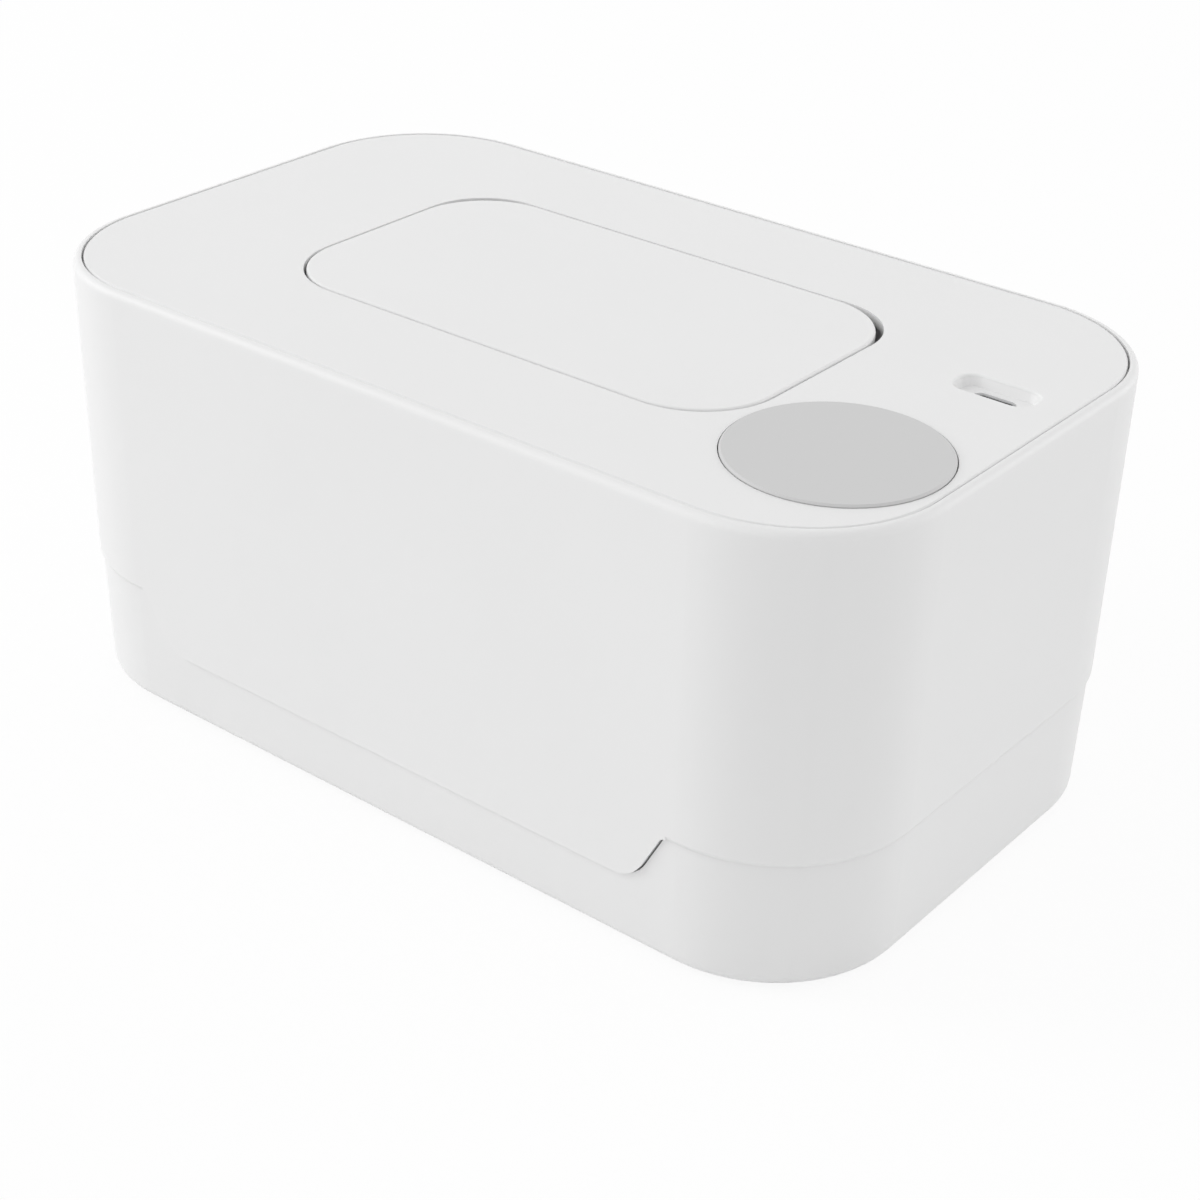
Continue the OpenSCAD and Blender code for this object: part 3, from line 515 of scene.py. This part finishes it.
def dress(material, *nodes):
    """Gives CAD nodes a finish."""
    for name in nodes:
        for slot in NODES[name].material_slots:
            slot.link = "DATA"
            slot.material = material


def middle(box):
    """Centre of a box."""
    return (box[0] + box[1]) / 2


def islands(name):
    """Boxes of a CAD node's loose parts, from the left to the right."""
    mesh = NODES[name].data
    spots = [tuple(round(value * 1e5) for value in vertex.co) for vertex in mesh.vertices]
    homes = {spot: spot for spot in spots}

    def home(spot):
        while homes[spot] != spot:
            homes[spot] = homes[homes[spot]]
            spot = homes[spot]
        return spot

    for face in mesh.polygons:
        for index in face.vertices[1:]:
            homes[home(spots[index])] = home(spots[face.vertices[0]])
    parts = {}
    for vertex, spot in zip(mesh.vertices, spots):
        parts.setdefault(home(spot), []).append(vertex.co)
    boxes = [(Vector(map(min, zip(*points))), Vector(map(max, zip(*points)))) for points in parts.values()]
    return sorted(boxes, key=lambda box: tuple(box[0]))


def grown(name, tree, points, sizes, body, slot, *replaced):
    """Runs a Geometry Nodes tree on a few points, and keeps what grows as a plain mesh on a body."""
    host = bpy.data.meshes.new(name + "_points")
    host.from_pydata([tuple(point) for point in points], [], [])
    made = bpy.data.objects.new(name, host)
    bpy.context.collection.objects.link(made)
    growth = made.modifiers.new("growth", "NODES")
    growth.node_group = tree
    for item in tree.interface.items_tree:
        if item.in_out == "INPUT" and item.name in sizes:
            growth[item.identifier] = sizes[item.name]
    bpy.context.view_layer.update()
    mesh = bpy.data.meshes.new_from_object(made.evaluated_get(bpy.context.evaluated_depsgraph_get()))
    if len(mesh.polygons) == 0:
        raise RuntimeError(name + " grew no faces")
    made.modifiers.remove(growth)
    made.data = mesh
    bpy.data.meshes.remove(host)
    mesh.set_sharp_from_angle(angle=SHARP_ANGLE)
    if body:
        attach(made, body)
    if replaced:
        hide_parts(*replaced)
    return made


class WARMER_OT_casing(bpy.types.Operator):
    """White outer shell, panel, lid and base"""

    bl_idname = "warmer.casing"
    bl_label = "Casing"
    bl_options = {"REGISTER", "UNDO"}

    def execute(self, context):
        look = context.scene.warmer_plastics
        kit = dict(roughness=look.roughness, grain=look.grain, depth=look.grain_depth, glow=look.glow)
        dress(moulded("casing_satin", look.casing, **kit), "outer_shell", "top_panel", "flip_lid")
        dress(moulded("base_satin", look.base, **kit), "base_shell")
        return {"FINISHED"}


class WARMER_OT_inner_mouldings(bpy.types.Operator):
    """Tray for the wipes, inner cover and the lid's liner"""

    bl_idname = "warmer.inner_mouldings"
    bl_label = "Inner mouldings"
    bl_options = {"REGISTER", "UNDO"}

    def execute(self, context):
        look = context.scene.warmer_plastics
        tray = moulded("tray_gloss", look.tray, 0.3, 0.9 * MM, 0.002 * MM, coat=0.5, marks=gate_marks)
        dress(tray, "wipe_tray")
        dress(moulded("inner_satin", look.inner, 0.52, marks=pin_marks), "inner_cover")
        dress(moulded("liner_satin", look.inner, 0.5, marks=pin_marks, mark_depth=0.03 * MM), "lid_liner")
        return {"FINISHED"}


class WARMER_OT_soft_parts(bpy.types.Operator):
    """Silicone outlet and seal, and rubber feet"""

    bl_idname = "warmer.soft_parts"
    bl_label = "Silicone and feet"
    bl_options = {"REGISTER", "UNDO"}

    def execute(self, context):
        look = context.scene.warmer_trim
        dress(soft_rubber("outlet_silicone", look.silicone, 0.5, self.lips), "wipe_outlet")
        dress(soft_rubber("seal_silicone", scaled(look.silicone, 0.9), 0.45), "lid_seal")
        dress(soft_rubber("foot_rubber", look.rubber, 0.75, self.grooves), "rubber_feet")
        return {"FINISHED"}

    def lips(self, made):
        """Fine ribs across the outlet, which grip the wipe."""
        pitch, rib = 2.4 * MM, 1.8 * MM
        return made.stripes(made.axis("X"), pitch, rib)

    def grooves(self, made):
        """Rings moulded round each foot's middle."""
        pitch, groove = 1.6 * MM, 0.4 * MM
        place = middle(islands("rubber_feet")[-1])
        return made.reach((abs(place.x), abs(place.y)), mirrored=True).repeat(pitch) > groove


class WARMER_OT_heater(bpy.types.Operator):
    """Heater plate, film and insulation, with the fuse and the sensor"""

    bl_idname = "warmer.heater"
    bl_label = "Heater"
    bl_options = {"REGISTER", "UNDO"}

    def execute(self, context):
        look = context.scene.warmer_trim
        dress(drawn_metal("rolled_aluminium", look.aluminium, 0.42, "x", 0.2 * MM), "heater_plate")
        dress(foamed("insulation_foam", look.foam, 1.1 * MM), "heater_insulation")
        self.make_film(look)
        self.make_fuse(look)
        self.make_sensor()
        return {"FINISHED"}

    def make_film(self, look):
        """Etched conductor in rows joined at alternate ends, under amber film."""
        pitch, width, border = 3.2 * MM, 1.7 * MM, 3 * MM
        low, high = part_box("heater_film")
        made = Finish("heating_film", {"Coat Weight": 0.8, "Coat Roughness": 0.1})
        across = made.axis("Y") - low.y
        along = made.axis("X") - (low.x + high.x) / 2
        half = (high.x - low.x) / 2 - border
        rows = made.stripes(across, pitch, width) * (along.size() < half)
        odd = (across - pitch / 2).repeat(2 * pitch) < pitch
        ends = odd * ((along - half).size() < width / 2) + (1.0 - odd) * ((along + half).size() < width / 2)
        track = rows.most(ends)
        cloud = made.noise(4 * MM, 3.0)
        made.set({"Base Color": made.blend(track, look.film, scaled(look.film, 0.5)),
                  "Roughness": 0.3 + 0.1 * cloud, "Metallic": track * 0.4,
                  "Normal": made.bump(track, 0.05 * MM)})
        dress(made.material, "heater_film")

    def make_fuse(self, look):
        """Glazed body between two crimped metal caps."""
        cap_length, crimp_inset, crimp_half = 1.8 * MM, 1.2 * MM, 0.2 * MM
        low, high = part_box("thermal_fuse")
        half = (high.x - low.x) / 2
        made = Finish("fuse_ceramic")
        away = (made.axis("X") - (low.x + high.x) / 2).size()
        cap = away > half - cap_length
        crimp = (away - half + crimp_inset).size() < crimp_half
        cloud = made.noise(1.5 * MM, 3.0)
        made.set({"Base Color": made.blend(cap, grey(226), look.steel), "Metallic": cap,
                  "Roughness": 0.22 + 0.15 * cloud, "Normal": made.bump(1.0 - crimp, 0.15 * MM)})
        dress(made.material, "thermal_fuse")

    def make_sensor(self):
        """Glossy bead of dark epoxy."""
        made = Finish("epoxy_bead", {"Coat Weight": 1.0, "Coat Roughness": 0.05})
        cloud = made.noise(1.2 * MM, 3.0)
        made.set({"Base Color": made.blend(cloud, grey(24), grey(44)), "Roughness": 0.25 + 0.2 * cloud,
                  "Normal": made.bump(cloud, 0.03 * MM)})
        dress(made.material, "temperature_sensor")


class WARMER_OT_board(bpy.types.Operator):
    """Circuit board, its parts, connector and heater leads"""

    bl_idname = "warmer.board"
    bl_label = "Board"
    bl_options = {"REGISTER", "UNDO"}

    def execute(self, context):
        look = context.scene.warmer_trim
        self.make_laminate(look)
        self.make_parts(look)
        self.make_leads(look)
        dress(moulded("nylon", grey(222), 0.55, marks=self.slots, mark_depth=0.3 * MM), "heater_connector")
        return {"FINISHED"}

    def slots(self, made):
        """Slots over the connector's contacts."""
        pitch, bar = 2.0 * MM, 1.5 * MM
        return made.stripes(made.axis("X"), pitch, bar)

    def make_laminate(self, look):
        """Solder mask over tracks, tinned pads and a bare laminate edge."""
        track_pitch, track_place, track_half = 1.27 * MM, 0.6 * MM, 0.16 * MM
        pad_pitch, pad_radius, laminate = 5.08 * MM, 0.55 * MM, (0.42, 0.33, 0.12)
        made = Finish("solder_mask", {"Coat Weight": 0.5, "Coat Roughness": 0.1})
        patches = made.noise(7 * MM, 1.0)
        lines = [(made.axis(letter).repeat(track_pitch) - track_place).size() < track_half for letter in "XY"]
        tracks = lines[0] * (patches > 0.52) + lines[1] * (patches < 0.48)
        pads = made.grid_reach(pad_pitch) < pad_radius
        edge = made.axis("Z", made.facing).size() < 0.5
        mask = made.blend(tracks, look.mask, scaled(look.mask, 1.7))
        tinned = made.blend(pads, mask, look.steel)
        made.set({"Base Color": made.blend(edge, tinned, laminate), "Metallic": pads * (1.0 - edge),
                  "Roughness": 0.32 + 0.1 * patches + 0.3 * edge,
                  "Normal": made.bump(tracks.most(pads), 0.03 * MM)})
        dress(made.material, "control_board")

    def make_parts(self, look):
        """Dark mouldings with a first-pin dimple, a coil and a sleeved can, and the chips' legs."""
        dimple_inset, dimple_radius, sleeve_inset = 0.9 * MM, 0.4 * MM, 0.5 * MM
        boxes = islands("board_parts")
        can = max(boxes, key=lambda box: box[1].z)
        ferrite = max((box for box in boxes if box is not can), key=lambda box: box[1].z)
        chips = sorted((box for box in boxes if box not in (can, ferrite)),
                       key=lambda box: -(box[1] - box[0]).length)[:2]
        made = Finish("parts")
        metal = made.within(can) * (made.axis("Z") > can[1].z - sleeve_inset)
        grains = made.noise(0.5 * MM, 3.0)
        dimples = 0.0
        for low, high in chips:
            corner = (low.x + dimple_inset, high.y - dimple_inset)
            dimples = (made.reach(corner) < dimple_radius) + dimples
        body = made.blend(grains, grey(34), made.blend(made.within(ferrite), grey(40), grey(70)))
        made.set({"Base Color": made.blend(metal, body, look.aluminium),
                  "Metallic": metal, "Roughness": 0.42 + 0.25 * grains - 0.2 * metal,
                  "Normal": made.bump(grains, 0.02 * MM, made.bump(1.0 - dimples, 0.1 * MM))})
        dress(made.material, "board_parts")
        self.make_legs(look, chips)

    def make_legs(self, look, chips):
        """Nine legs along each side of the larger chip, and four along two sides of the other."""
        leg_width, leg_rise = 0.3 * MM, 0.45
        tin = drawn_metal("tinned_legs", look.steel, 0.28, "y", 0.3 * MM)
        rows = ((4, 9, 0.65 * MM), (2, 4, 1.1 * MM))
        for number, ((low, high), (sides, count, pitch)) in enumerate(zip(chips, rows)):
            span = (high.x - low.x) if sides == 4 else (high.y - low.y)
            sizes = {"Count": count, "Pitch": pitch, "Reach": span / 2, "Width": leg_width,
                     "Rise": (high.z - low.z) * leg_rise}
            place = middle((low, high))
            grown("chip_legs_%d" % number, self.legs_tree("legs_%d" % number, sides, tin),
                  [(place.x, place.y, low.z)], sizes, "cover", "socket_steel")

    def legs_tree(self, name, sides, material):
        """Rows of gull-wing legs along two or four sides of a chip."""
        thick, flat = 0.12 * MM, 0.4 * MM
        shoulder, knee, foot = -0.1 * MM, -0.3 * MM, -0.45 * MM
        tree = Growth(name, Count=8, Pitch=0.65 * MM, Reach=3.5 * MM, Width=0.3 * MM, Rise=0.5 * MM)
        size = tree.sizes
        leg = tree.joined(
            tree.block((size["Width"], flat, thick), (0.0, shoulder, size["Rise"])),
            tree.block((size["Width"], thick, size["Rise"]), (0.0, knee, size["Rise"] / 2)),
            tree.block((size["Width"], flat, thick), (0.0, foot, thick / 2)))
        row = tree.row(leg, size["Reach"] * -1.0)
        turns = [(0.0, 0.0, math.tau * side / sides) for side in range(sides)]
        rows = tree.joined(*[tree.moved(row, turn=turn) for turn in turns])
        return tree.end(tree.set_at(tree.host, rows), material)

    def make_leads(self, look):
        """Two leads in silicone insulation of different colours."""
        centre = middle(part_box("heater_leads"))
        made = Finish("lead_silicone", {"Sheen Weight": 0.2, "Roughness": 0.55})
        bloom = made.noise(2 * MM, 3.0)
        colour = made.blend(made.axis("X") > centre.x, look.lead, grey(206))
        made.set({"Base Color": made.blend(bloom * 0.12, colour, (0.2, 0.2, 0.2)),
                  "Normal": made.bump(made.noise(0.3 * MM), 0.01 * MM)})
        dress(made.material, "heater_leads")


class WARMER_OT_socket(bpy.types.Operator):
    """USB-C socket's shell, insulator and contacts"""

    bl_idname = "warmer.socket"
    bl_label = "Socket"
    bl_options = {"REGISTER", "UNDO"}

    def execute(self, context):
        look = context.scene.warmer_trim
        dress(drawn_metal("nickel", look.steel, 0.25, "z", 0.25 * MM), "usb_shell")
        dress(moulded("socket_black", grey(30), 0.45), "usb_insulator")
        gold = drawn_metal("contact_gold", look.gold, 0.22, "z", 0.2 * MM)
        low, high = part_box("usb_insulator")
        sunk = 0.25 * MM
        top = ((low.x + high.x) / 2, (low.y + high.y) / 2, high.z - sunk)
        sizes = {"Pitch": context.scene.warmer_fasteners.contact_pitch, "Count": 12}
        grown("socket_contacts", self.contacts_tree(gold), [top], sizes, "cover", "touch_gold")
        return {"FINISHED"}

    def contacts_tree(self, material):
        """Two rows of contact strips on the faces of the socket's tongue."""
        thick = 0.06 * MM
        tree = Growth("contacts", Count=12, Pitch=0.5 * MM, Width=0.25 * MM, Length=4 * MM, Apart=0.7 * MM)
        size = tree.sizes
        strip = tree.block((size["Width"], thick, size["Length"]), (0.0, 0.0, size["Length"] * -0.5))
        rows = tree.joined(*[tree.row(strip, size["Apart"] * side) for side in (-0.5, 0.5)])
        return tree.end(tree.set_at(tree.host, rows), material)


class WARMER_OT_display(bpy.types.Operator):
    """Display under the round lens, with the lens and its gasket"""

    bl_idname = "warmer.display"
    bl_label = "Display and lens"
    bl_options = {"REGISTER", "UNDO"}

    def execute(self, context):
        look = context.scene.warmer_plastics
        lens = moulded("lens_satin", look.lens, look.lens_roughness, 0.3 * MM, 0.0015 * MM, 0.006)
        dress(lens, "display_lens")
        dress(foamed("gasket_foam", grey(62), 0.6 * MM), "lens_gasket")
        self.make_module()
        return {"FINISHED"}

    def make_module(self):
        """Dark housing with a glossy window over two unlit digits."""
        rim, digit_place = 1.2 * MM, 6.0 * MM
        low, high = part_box("display_module")
        made = Finish("display_window", {"Coat Weight": 0.6, "Coat Roughness": 0.08})
        inset = Vector((rim, rim, 0))
        window = made.within((low + inset, high - inset), 0.0) * (made.axis("Z", made.facing) > 0.5)
        bars = 0.0
        for side in (-1, 1):
            bars = self.digit(made, middle((low, high)) + Vector((side * digit_place, 0, 0))) + bars
        grains = made.noise(0.6 * MM, 2.0)
        face = made.blend(bars, grey(28), grey(150))
        made.set({"Base Color": made.blend(window, made.blend(grains, grey(34), grey(46)), face),
                  "Roughness": 0.5 + 0.1 * grains - 0.3 * window,
                  "Normal": made.bump(grains * (1.0 - window), 0.02 * MM)})
        dress(made.material, "display_module")

    def digit(self, made, centre):
        """1 on the seven bars of a digit, and 0 elsewhere."""
        level = [(0, 4.6 * row, 4, 1) for row in (-1, 0, 1)]
        upright = [(2.7 * side, 2.3 * row, 1, 3.4) for side in (-1, 1) for row in (-1, 1)]
        bars = 0.0
        for x, y, wide, tall in level + upright:
            place = centre + Vector((x, y, 0)) * MM
            half = Vector((wide, tall, 0)) * MM / 2
            bars = made.within((place - half, place + half), 0.0) + bars
        return bars


class WARMER_OT_hinge_and_latch(bpy.types.Operator):
    """Hinge pins, and the push catch's housing and plunger"""

    bl_idname = "warmer.hinge_and_latch"
    bl_label = "Hinge and latch"
    bl_options = {"REGISTER", "UNDO"}

    def execute(self, context):
        look = context.scene.warmer_trim
        dress(drawn_metal("ground_pin", look.steel, 0.24, "x", 0.08 * MM), "hinge_pins")
        dress(moulded("latch_satin", grey(220), 0.5, 0.3 * MM, marks=pin_marks), "latch_housing")
        dress(moulded("acetal", grey(236), 0.34, 0.7 * MM, 0.002 * MM, coat=0.2), "latch_plunger")
        return {"FINISHED"}


class WARMER_OT_springs(bpy.types.Operator):
    """Wire springs of the hinge, the latch and the touch key"""

    bl_idname = "warmer.springs"
    bl_label = "Springs"
    bl_options = {"REGISTER", "UNDO"}

    def execute(self, context):
        look, sizes = context.scene.warmer_trim, context.scene.warmer_fasteners
        steel = drawn_metal("spring_wire", look.wire, 0.3, "z", 0.1 * MM)
        gold = drawn_metal("gold_wire", look.gold, 0.25, "z", 0.1 * MM)
        self.facets = look.wire_sides
        self.make_upright("touch_wire", "touch_spring", gold, sizes.touch_wire, 6.0, "touch_gold", "cover")
        latch = self.make_upright("latch_wire", "latch_spring", steel, sizes.latch_wire, 4.0, "spring_steel",
                                  None)
        low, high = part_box("latch_spring")
        x, y = middle((low, high)).xy
        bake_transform(latch)
        self.make_hinge(steel, sizes)
        return {"FINISHED"}

    def wire_tree(self, name, material, sideways):
        """A wire spring wound about Z, or about X for the hinge, whose Side is 1 or -1."""
        tree = Growth(name, Wire=0.5 * MM, Radius=2.0 * MM, Turns=5.0, Height=5.0 * MM, Leg=0.05 * MM,
                      Closed=0.7, Side=1.0, Facets=12)
        size = tree.sizes
        count, across, up, along = tree.coil(*[size[key] for key in (
            "Wire", "Radius", "Turns", "Height", "Leg", "Closed")])
        position = tree.vector(across, up, along)
        if sideways:
            position = tree.vector(along * size["Side"] * -1.0, across * -1.0, up)
        spring = tree.swept(tree.path(count, position), size["Wire"] / 2, size["Facets"])
        return tree.end(tree.set_at(tree.host, spring), material)

    def make_upright(self, name, node, material, wire, turns, slot, body):
        """A compression spring in place of a CAD node's."""
        low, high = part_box(node)
        height = high.z - low.z - wire * CAD_WIRE_HEIGHT
        sizes = {"Wire": wire, "Radius": (high.x - low.x - wire) / 2, "Turns": turns, "Height": height,
                 "Leg": 0.05 * MM, "Closed": 0.6, "Facets": self.facets}
        place = middle((low, high)) - Vector((0, 0, height / 2))
        return grown(name, self.wire_tree(name + "_tree", material, False), [place], sizes, body, slot, node)

    def make_hinge(self, material, sizes):
        """Two torsion springs round the pins, each a mirror image of the other."""
        turns, radius = 5.785, 1.25 * MM
        pin = middle(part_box("hinge_pins"))
        kinds = ((-1, "hinge_wire_left", ["hinge_springs"]), (1, "hinge_wire_right", []))
        for (side, name, replaced), (low, high) in zip(kinds, islands("hinge_springs")):
            length = high.x - low.x - sizes.hinge_wire * CAD_WIRE_HEIGHT
            start = middle((low, high)).x + side * length / 2
            settings = {"Wire": sizes.hinge_wire, "Radius": radius, "Turns": turns, "Height": length,
                        "Leg": sizes.leg, "Closed": 0.0, "Side": float(side), "Facets": self.facets}
            grown(name, self.wire_tree(name + "_tree", material, True), [(start, pin.y, pin.z)], settings,
                  "cover", "spring_steel", *replaced)


class WARMER_OT_screws(bpy.types.Operator):
    """Pan-head screws with a cross recess and a thread"""

    bl_idname = "warmer.screws"
    bl_label = "Screws"
    bl_options = {"REGISTER", "UNDO"}

    def execute(self, context):
        sizes = context.scene.warmer_fasteners
        tree = self.screw_tree(drawn_metal("zinc", context.scene.warmer_trim.steel, 0.3, "z", 0.5 * MM))
        for node, body, shank, head in (("cover_screws", "cover", sizes.shank, sizes.head),
                                        ("tray_screws", "base", sizes.shank, sizes.head),
                                        ("board_screws", "cover", sizes.board_shank, sizes.board_head)):
            boxes = islands(node)
            low, high = boxes[0]
            places = [(middle(box).x, middle(box).y, box[0].z) for box in boxes]
            grown(node + "_turned", tree, places, {
                "Shank": shank, "Head": high.x - low.x, "Rise": head, "Length": high.z - low.z,
                "Pitch": sizes.pitch}, body, "screw_steel", node)
        return {"FINISHED"}

    def screw_tree(self, material):
        """A screw that points up, with its head at the foot."""
        thread, tip, gap = 0.2 * MM, 1.0 * MM, 0.02 * MM
        tree = Growth("screw", Shank=2.6 * MM, Head=5.2 * MM, Rise=1.8 * MM, Length=11.8 * MM, Pitch=0.9 * MM)
        size = tree.sizes
        shank, head, rise, length = size["Shank"] / 2, size["Head"] / 2, size["Rise"], size["Length"]
        core = shank - thread
        body = tree.turned([
            (head - 0.9 * MM, 0.0), (head - 0.35 * MM, rise * 0.12), (head - 0.08 * MM, rise * 0.4),
            (head, rise * 0.7), (head, rise), (core, rise + gap / 2), (core, length - tip),
            (core * 0.5, length)])
        cross = [tree.block((head * a, head * b, rise * 0.9), (0.0, 0.0, rise * 0.35 - gap))
                 for a, b in ((1.1, 0.26), (0.26, 1.1))]
        body = tree.node("GeometryNodeMeshBoolean", {"operation": "DIFFERENCE"},
                         {"Mesh 1": body, "Mesh 2": cross})
        turns = (length - rise - 1.2 * MM) / size["Pitch"]
        index = tree.index()
        angle = index * (math.tau / THREAD_STEPS)
        climb = rise + 0.3 * MM + index * size["Pitch"] / THREAD_STEPS
        line = tree.path((turns * THREAD_STEPS).floor(),
                         tree.vector(angle.cosine() * core, angle.sine() * core, climb))
        return tree.end(tree.set_at(tree.host, tree.joined(body, tree.swept(line, thread, 5))), material)


class WARMER_OT_stage(bpy.types.Operator):
    """Floor, soft boxes and camera"""

    bl_idname = "warmer.stage"
    bl_label = "Stage"
    bl_options = {"REGISTER", "UNDO"}

    def execute(self, context):
        scene = context.scene
        look = scene.warmer_studio
        self.make_world(scene, look)
        self.make_floor(look)
        self.make_lamp("left_box", (-1.92, -1.02, 1.06), (0.9, 1.2), look.left_lamp)
        self.make_lamp("right_box", (1.2, 2.08, 0.47), (0.9, 1.1), look.right_lamp)
        self.make_lamp("top_box", (-0.1, 0.1, 1.1), (0.9, 0.9), look.top_lamp)
        self.make_camera(scene)
        scene.view_settings.view_transform = "Standard"
        return {"FINISHED"}

    def seen(self, graph):
        """1 for the rays that see the backdrop itself: the camera's, mirrored and passed through."""
        kinds = [graph.node("ShaderNodeLightPath", output=kind)
                 for kind in ("Is Camera Ray", "Is Glossy Ray", "Is Transmission Ray")]
        return kinds[0].most(kinds[1]).most(kinds[2])

    def make_world(self, scene, look):
        """Even white light, with plain white behind it."""
        world = bpy.data.worlds.new("studio")
        world.use_nodes = True
        scene.world = world
        graph = Graph(world.node_tree)
        sky, white = [
            graph.node("ShaderNodeBackground", None, {"Color": (1.0, 1.0, 1.0), "Strength": strength})
            for strength in (look.sky, 1.0)]
        mixed = graph.node("ShaderNodeMixShader", None, {0: self.seen(graph), 1: sky, 2: white})
        graph.join(mixed, world.node_tree.nodes["World Output"].inputs["Surface"])

    def make_floor(self, look):
        """White floor that keeps a little of the shadow."""
        mesh = bpy.data.meshes.new("floor")
        signs = ((-1, -1), (1, -1), (1, 1), (-1, 1))
        corners = [(x * FLOOR_HALF, y * FLOOR_HALF, -FLOOR_DROP) for x, y in signs]
        mesh.from_pydata(corners, [], [(0, 1, 2, 3)])
        floor = bpy.data.objects.new("floor", mesh)
        bpy.context.collection.objects.link(floor)
        made = Finish("floor_paper", {"Base Color": look.floor_colour, "Roughness": 0.95,
                                      "Specular IOR Level": 0.1})
        white = made.node("ShaderNodeEmission", None, {"Color": (1.0, 1.0, 1.0)})
        paper = Value(made, made.shader.outputs[0])
        share = self.seen(made) * look.floor_share
        mixed = made.node("ShaderNodeMixShader", None, {0: share, 1: paper, 2: white})
        made.join(mixed, made.tree.nodes["Material Output"].inputs["Surface"])
        mesh.materials.append(made.material)

    def make_lamp(self, name, place, size, power):
        """A soft box that points at the warmer."""
        lamp = bpy.data.lights.new(name, "AREA")
        lamp.shape = "RECTANGLE"
        lamp.size, lamp.size_y = size
        lamp.energy = power
        made = bpy.data.objects.new(name, lamp)
        made.location = place
        made.rotation_euler = (LAMP_AIM - made.location).to_track_quat("-Z", "Y").to_euler()
        bpy.context.collection.objects.link(made)

    def make_camera(self, scene):
        """Camera at the photograph's angle."""
        view = scene.warmer_view
        back = Vector((math.sin(view.azimuth) * math.cos(view.elevation),
                       -math.cos(view.azimuth) * math.cos(view.elevation), math.sin(view.elevation)))
        camera = bpy.data.cameras.new("camera")
        camera.sensor_width = SENSOR_WIDTH
        camera.lens = view.lens
        made = bpy.data.objects.new("camera", camera)
        made.location = Vector(view.aim) + back * view.distance
        made.rotation_mode = "QUATERNION"
        made.rotation_quaternion = (-back).to_track_quat("-Z", "Y") @ Matrix.Rotation(
            view.roll, 4, "Z").to_quaternion()
        bpy.context.collection.objects.link(made)
        scene.camera = made


OPERATORS = (WARMER_OT_casing, WARMER_OT_inner_mouldings, WARMER_OT_soft_parts, WARMER_OT_heater,
             WARMER_OT_board, WARMER_OT_socket, WARMER_OT_display, WARMER_OT_hinge_and_latch,
             WARMER_OT_springs, WARMER_OT_screws, WARMER_OT_stage)
GROUPS = {"warmer_view": WarmerView, "warmer_studio": WarmerStudio, "warmer_plastics": WarmerPlastics,
          "warmer_trim": WarmerTrim, "warmer_fasteners": WarmerFasteners}


class WARMER_PT_pieces(bpy.types.Panel):
    """Lists the warmer's settings and pieces."""

    bl_label = "Wipe warmer"
    bl_idname = "WARMER_PT_pieces"
    bl_space_type = "VIEW_3D"
    bl_region_type = "UI"
    bl_category = "Wipe warmer"

    def draw(self, context):
        for name, group in GROUPS.items():
            box = self.layout.box()
            box.label(text=group.__doc__)
            for key in group.__annotations__:
                box.prop(getattr(context.scene, name), key)
        for operator in OPERATORS:
            self.layout.operator(operator.bl_idname)


def register():
    for group in GROUPS.values():
        bpy.utils.register_class(group)
    for name, group in GROUPS.items():
        setattr(bpy.types.Scene, name, PointerProperty(type=group))
    for operator in OPERATORS:
        bpy.utils.register_class(operator)
    bpy.utils.register_class(WARMER_PT_pieces)


def unregister():
    bpy.utils.unregister_class(WARMER_PT_pieces)
    for operator in reversed(OPERATORS):
        bpy.utils.unregister_class(operator)
    for name in GROUPS:
        delattr(bpy.types.Scene, name)
    for group in reversed(list(GROUPS.values())):
        bpy.utils.unregister_class(group)


def main():
    register()
    for operator in OPERATORS:
        section, name = operator.bl_idname.split(".")
        getattr(getattr(bpy.ops, section), name)()


if __name__ == "__main__":
    main()
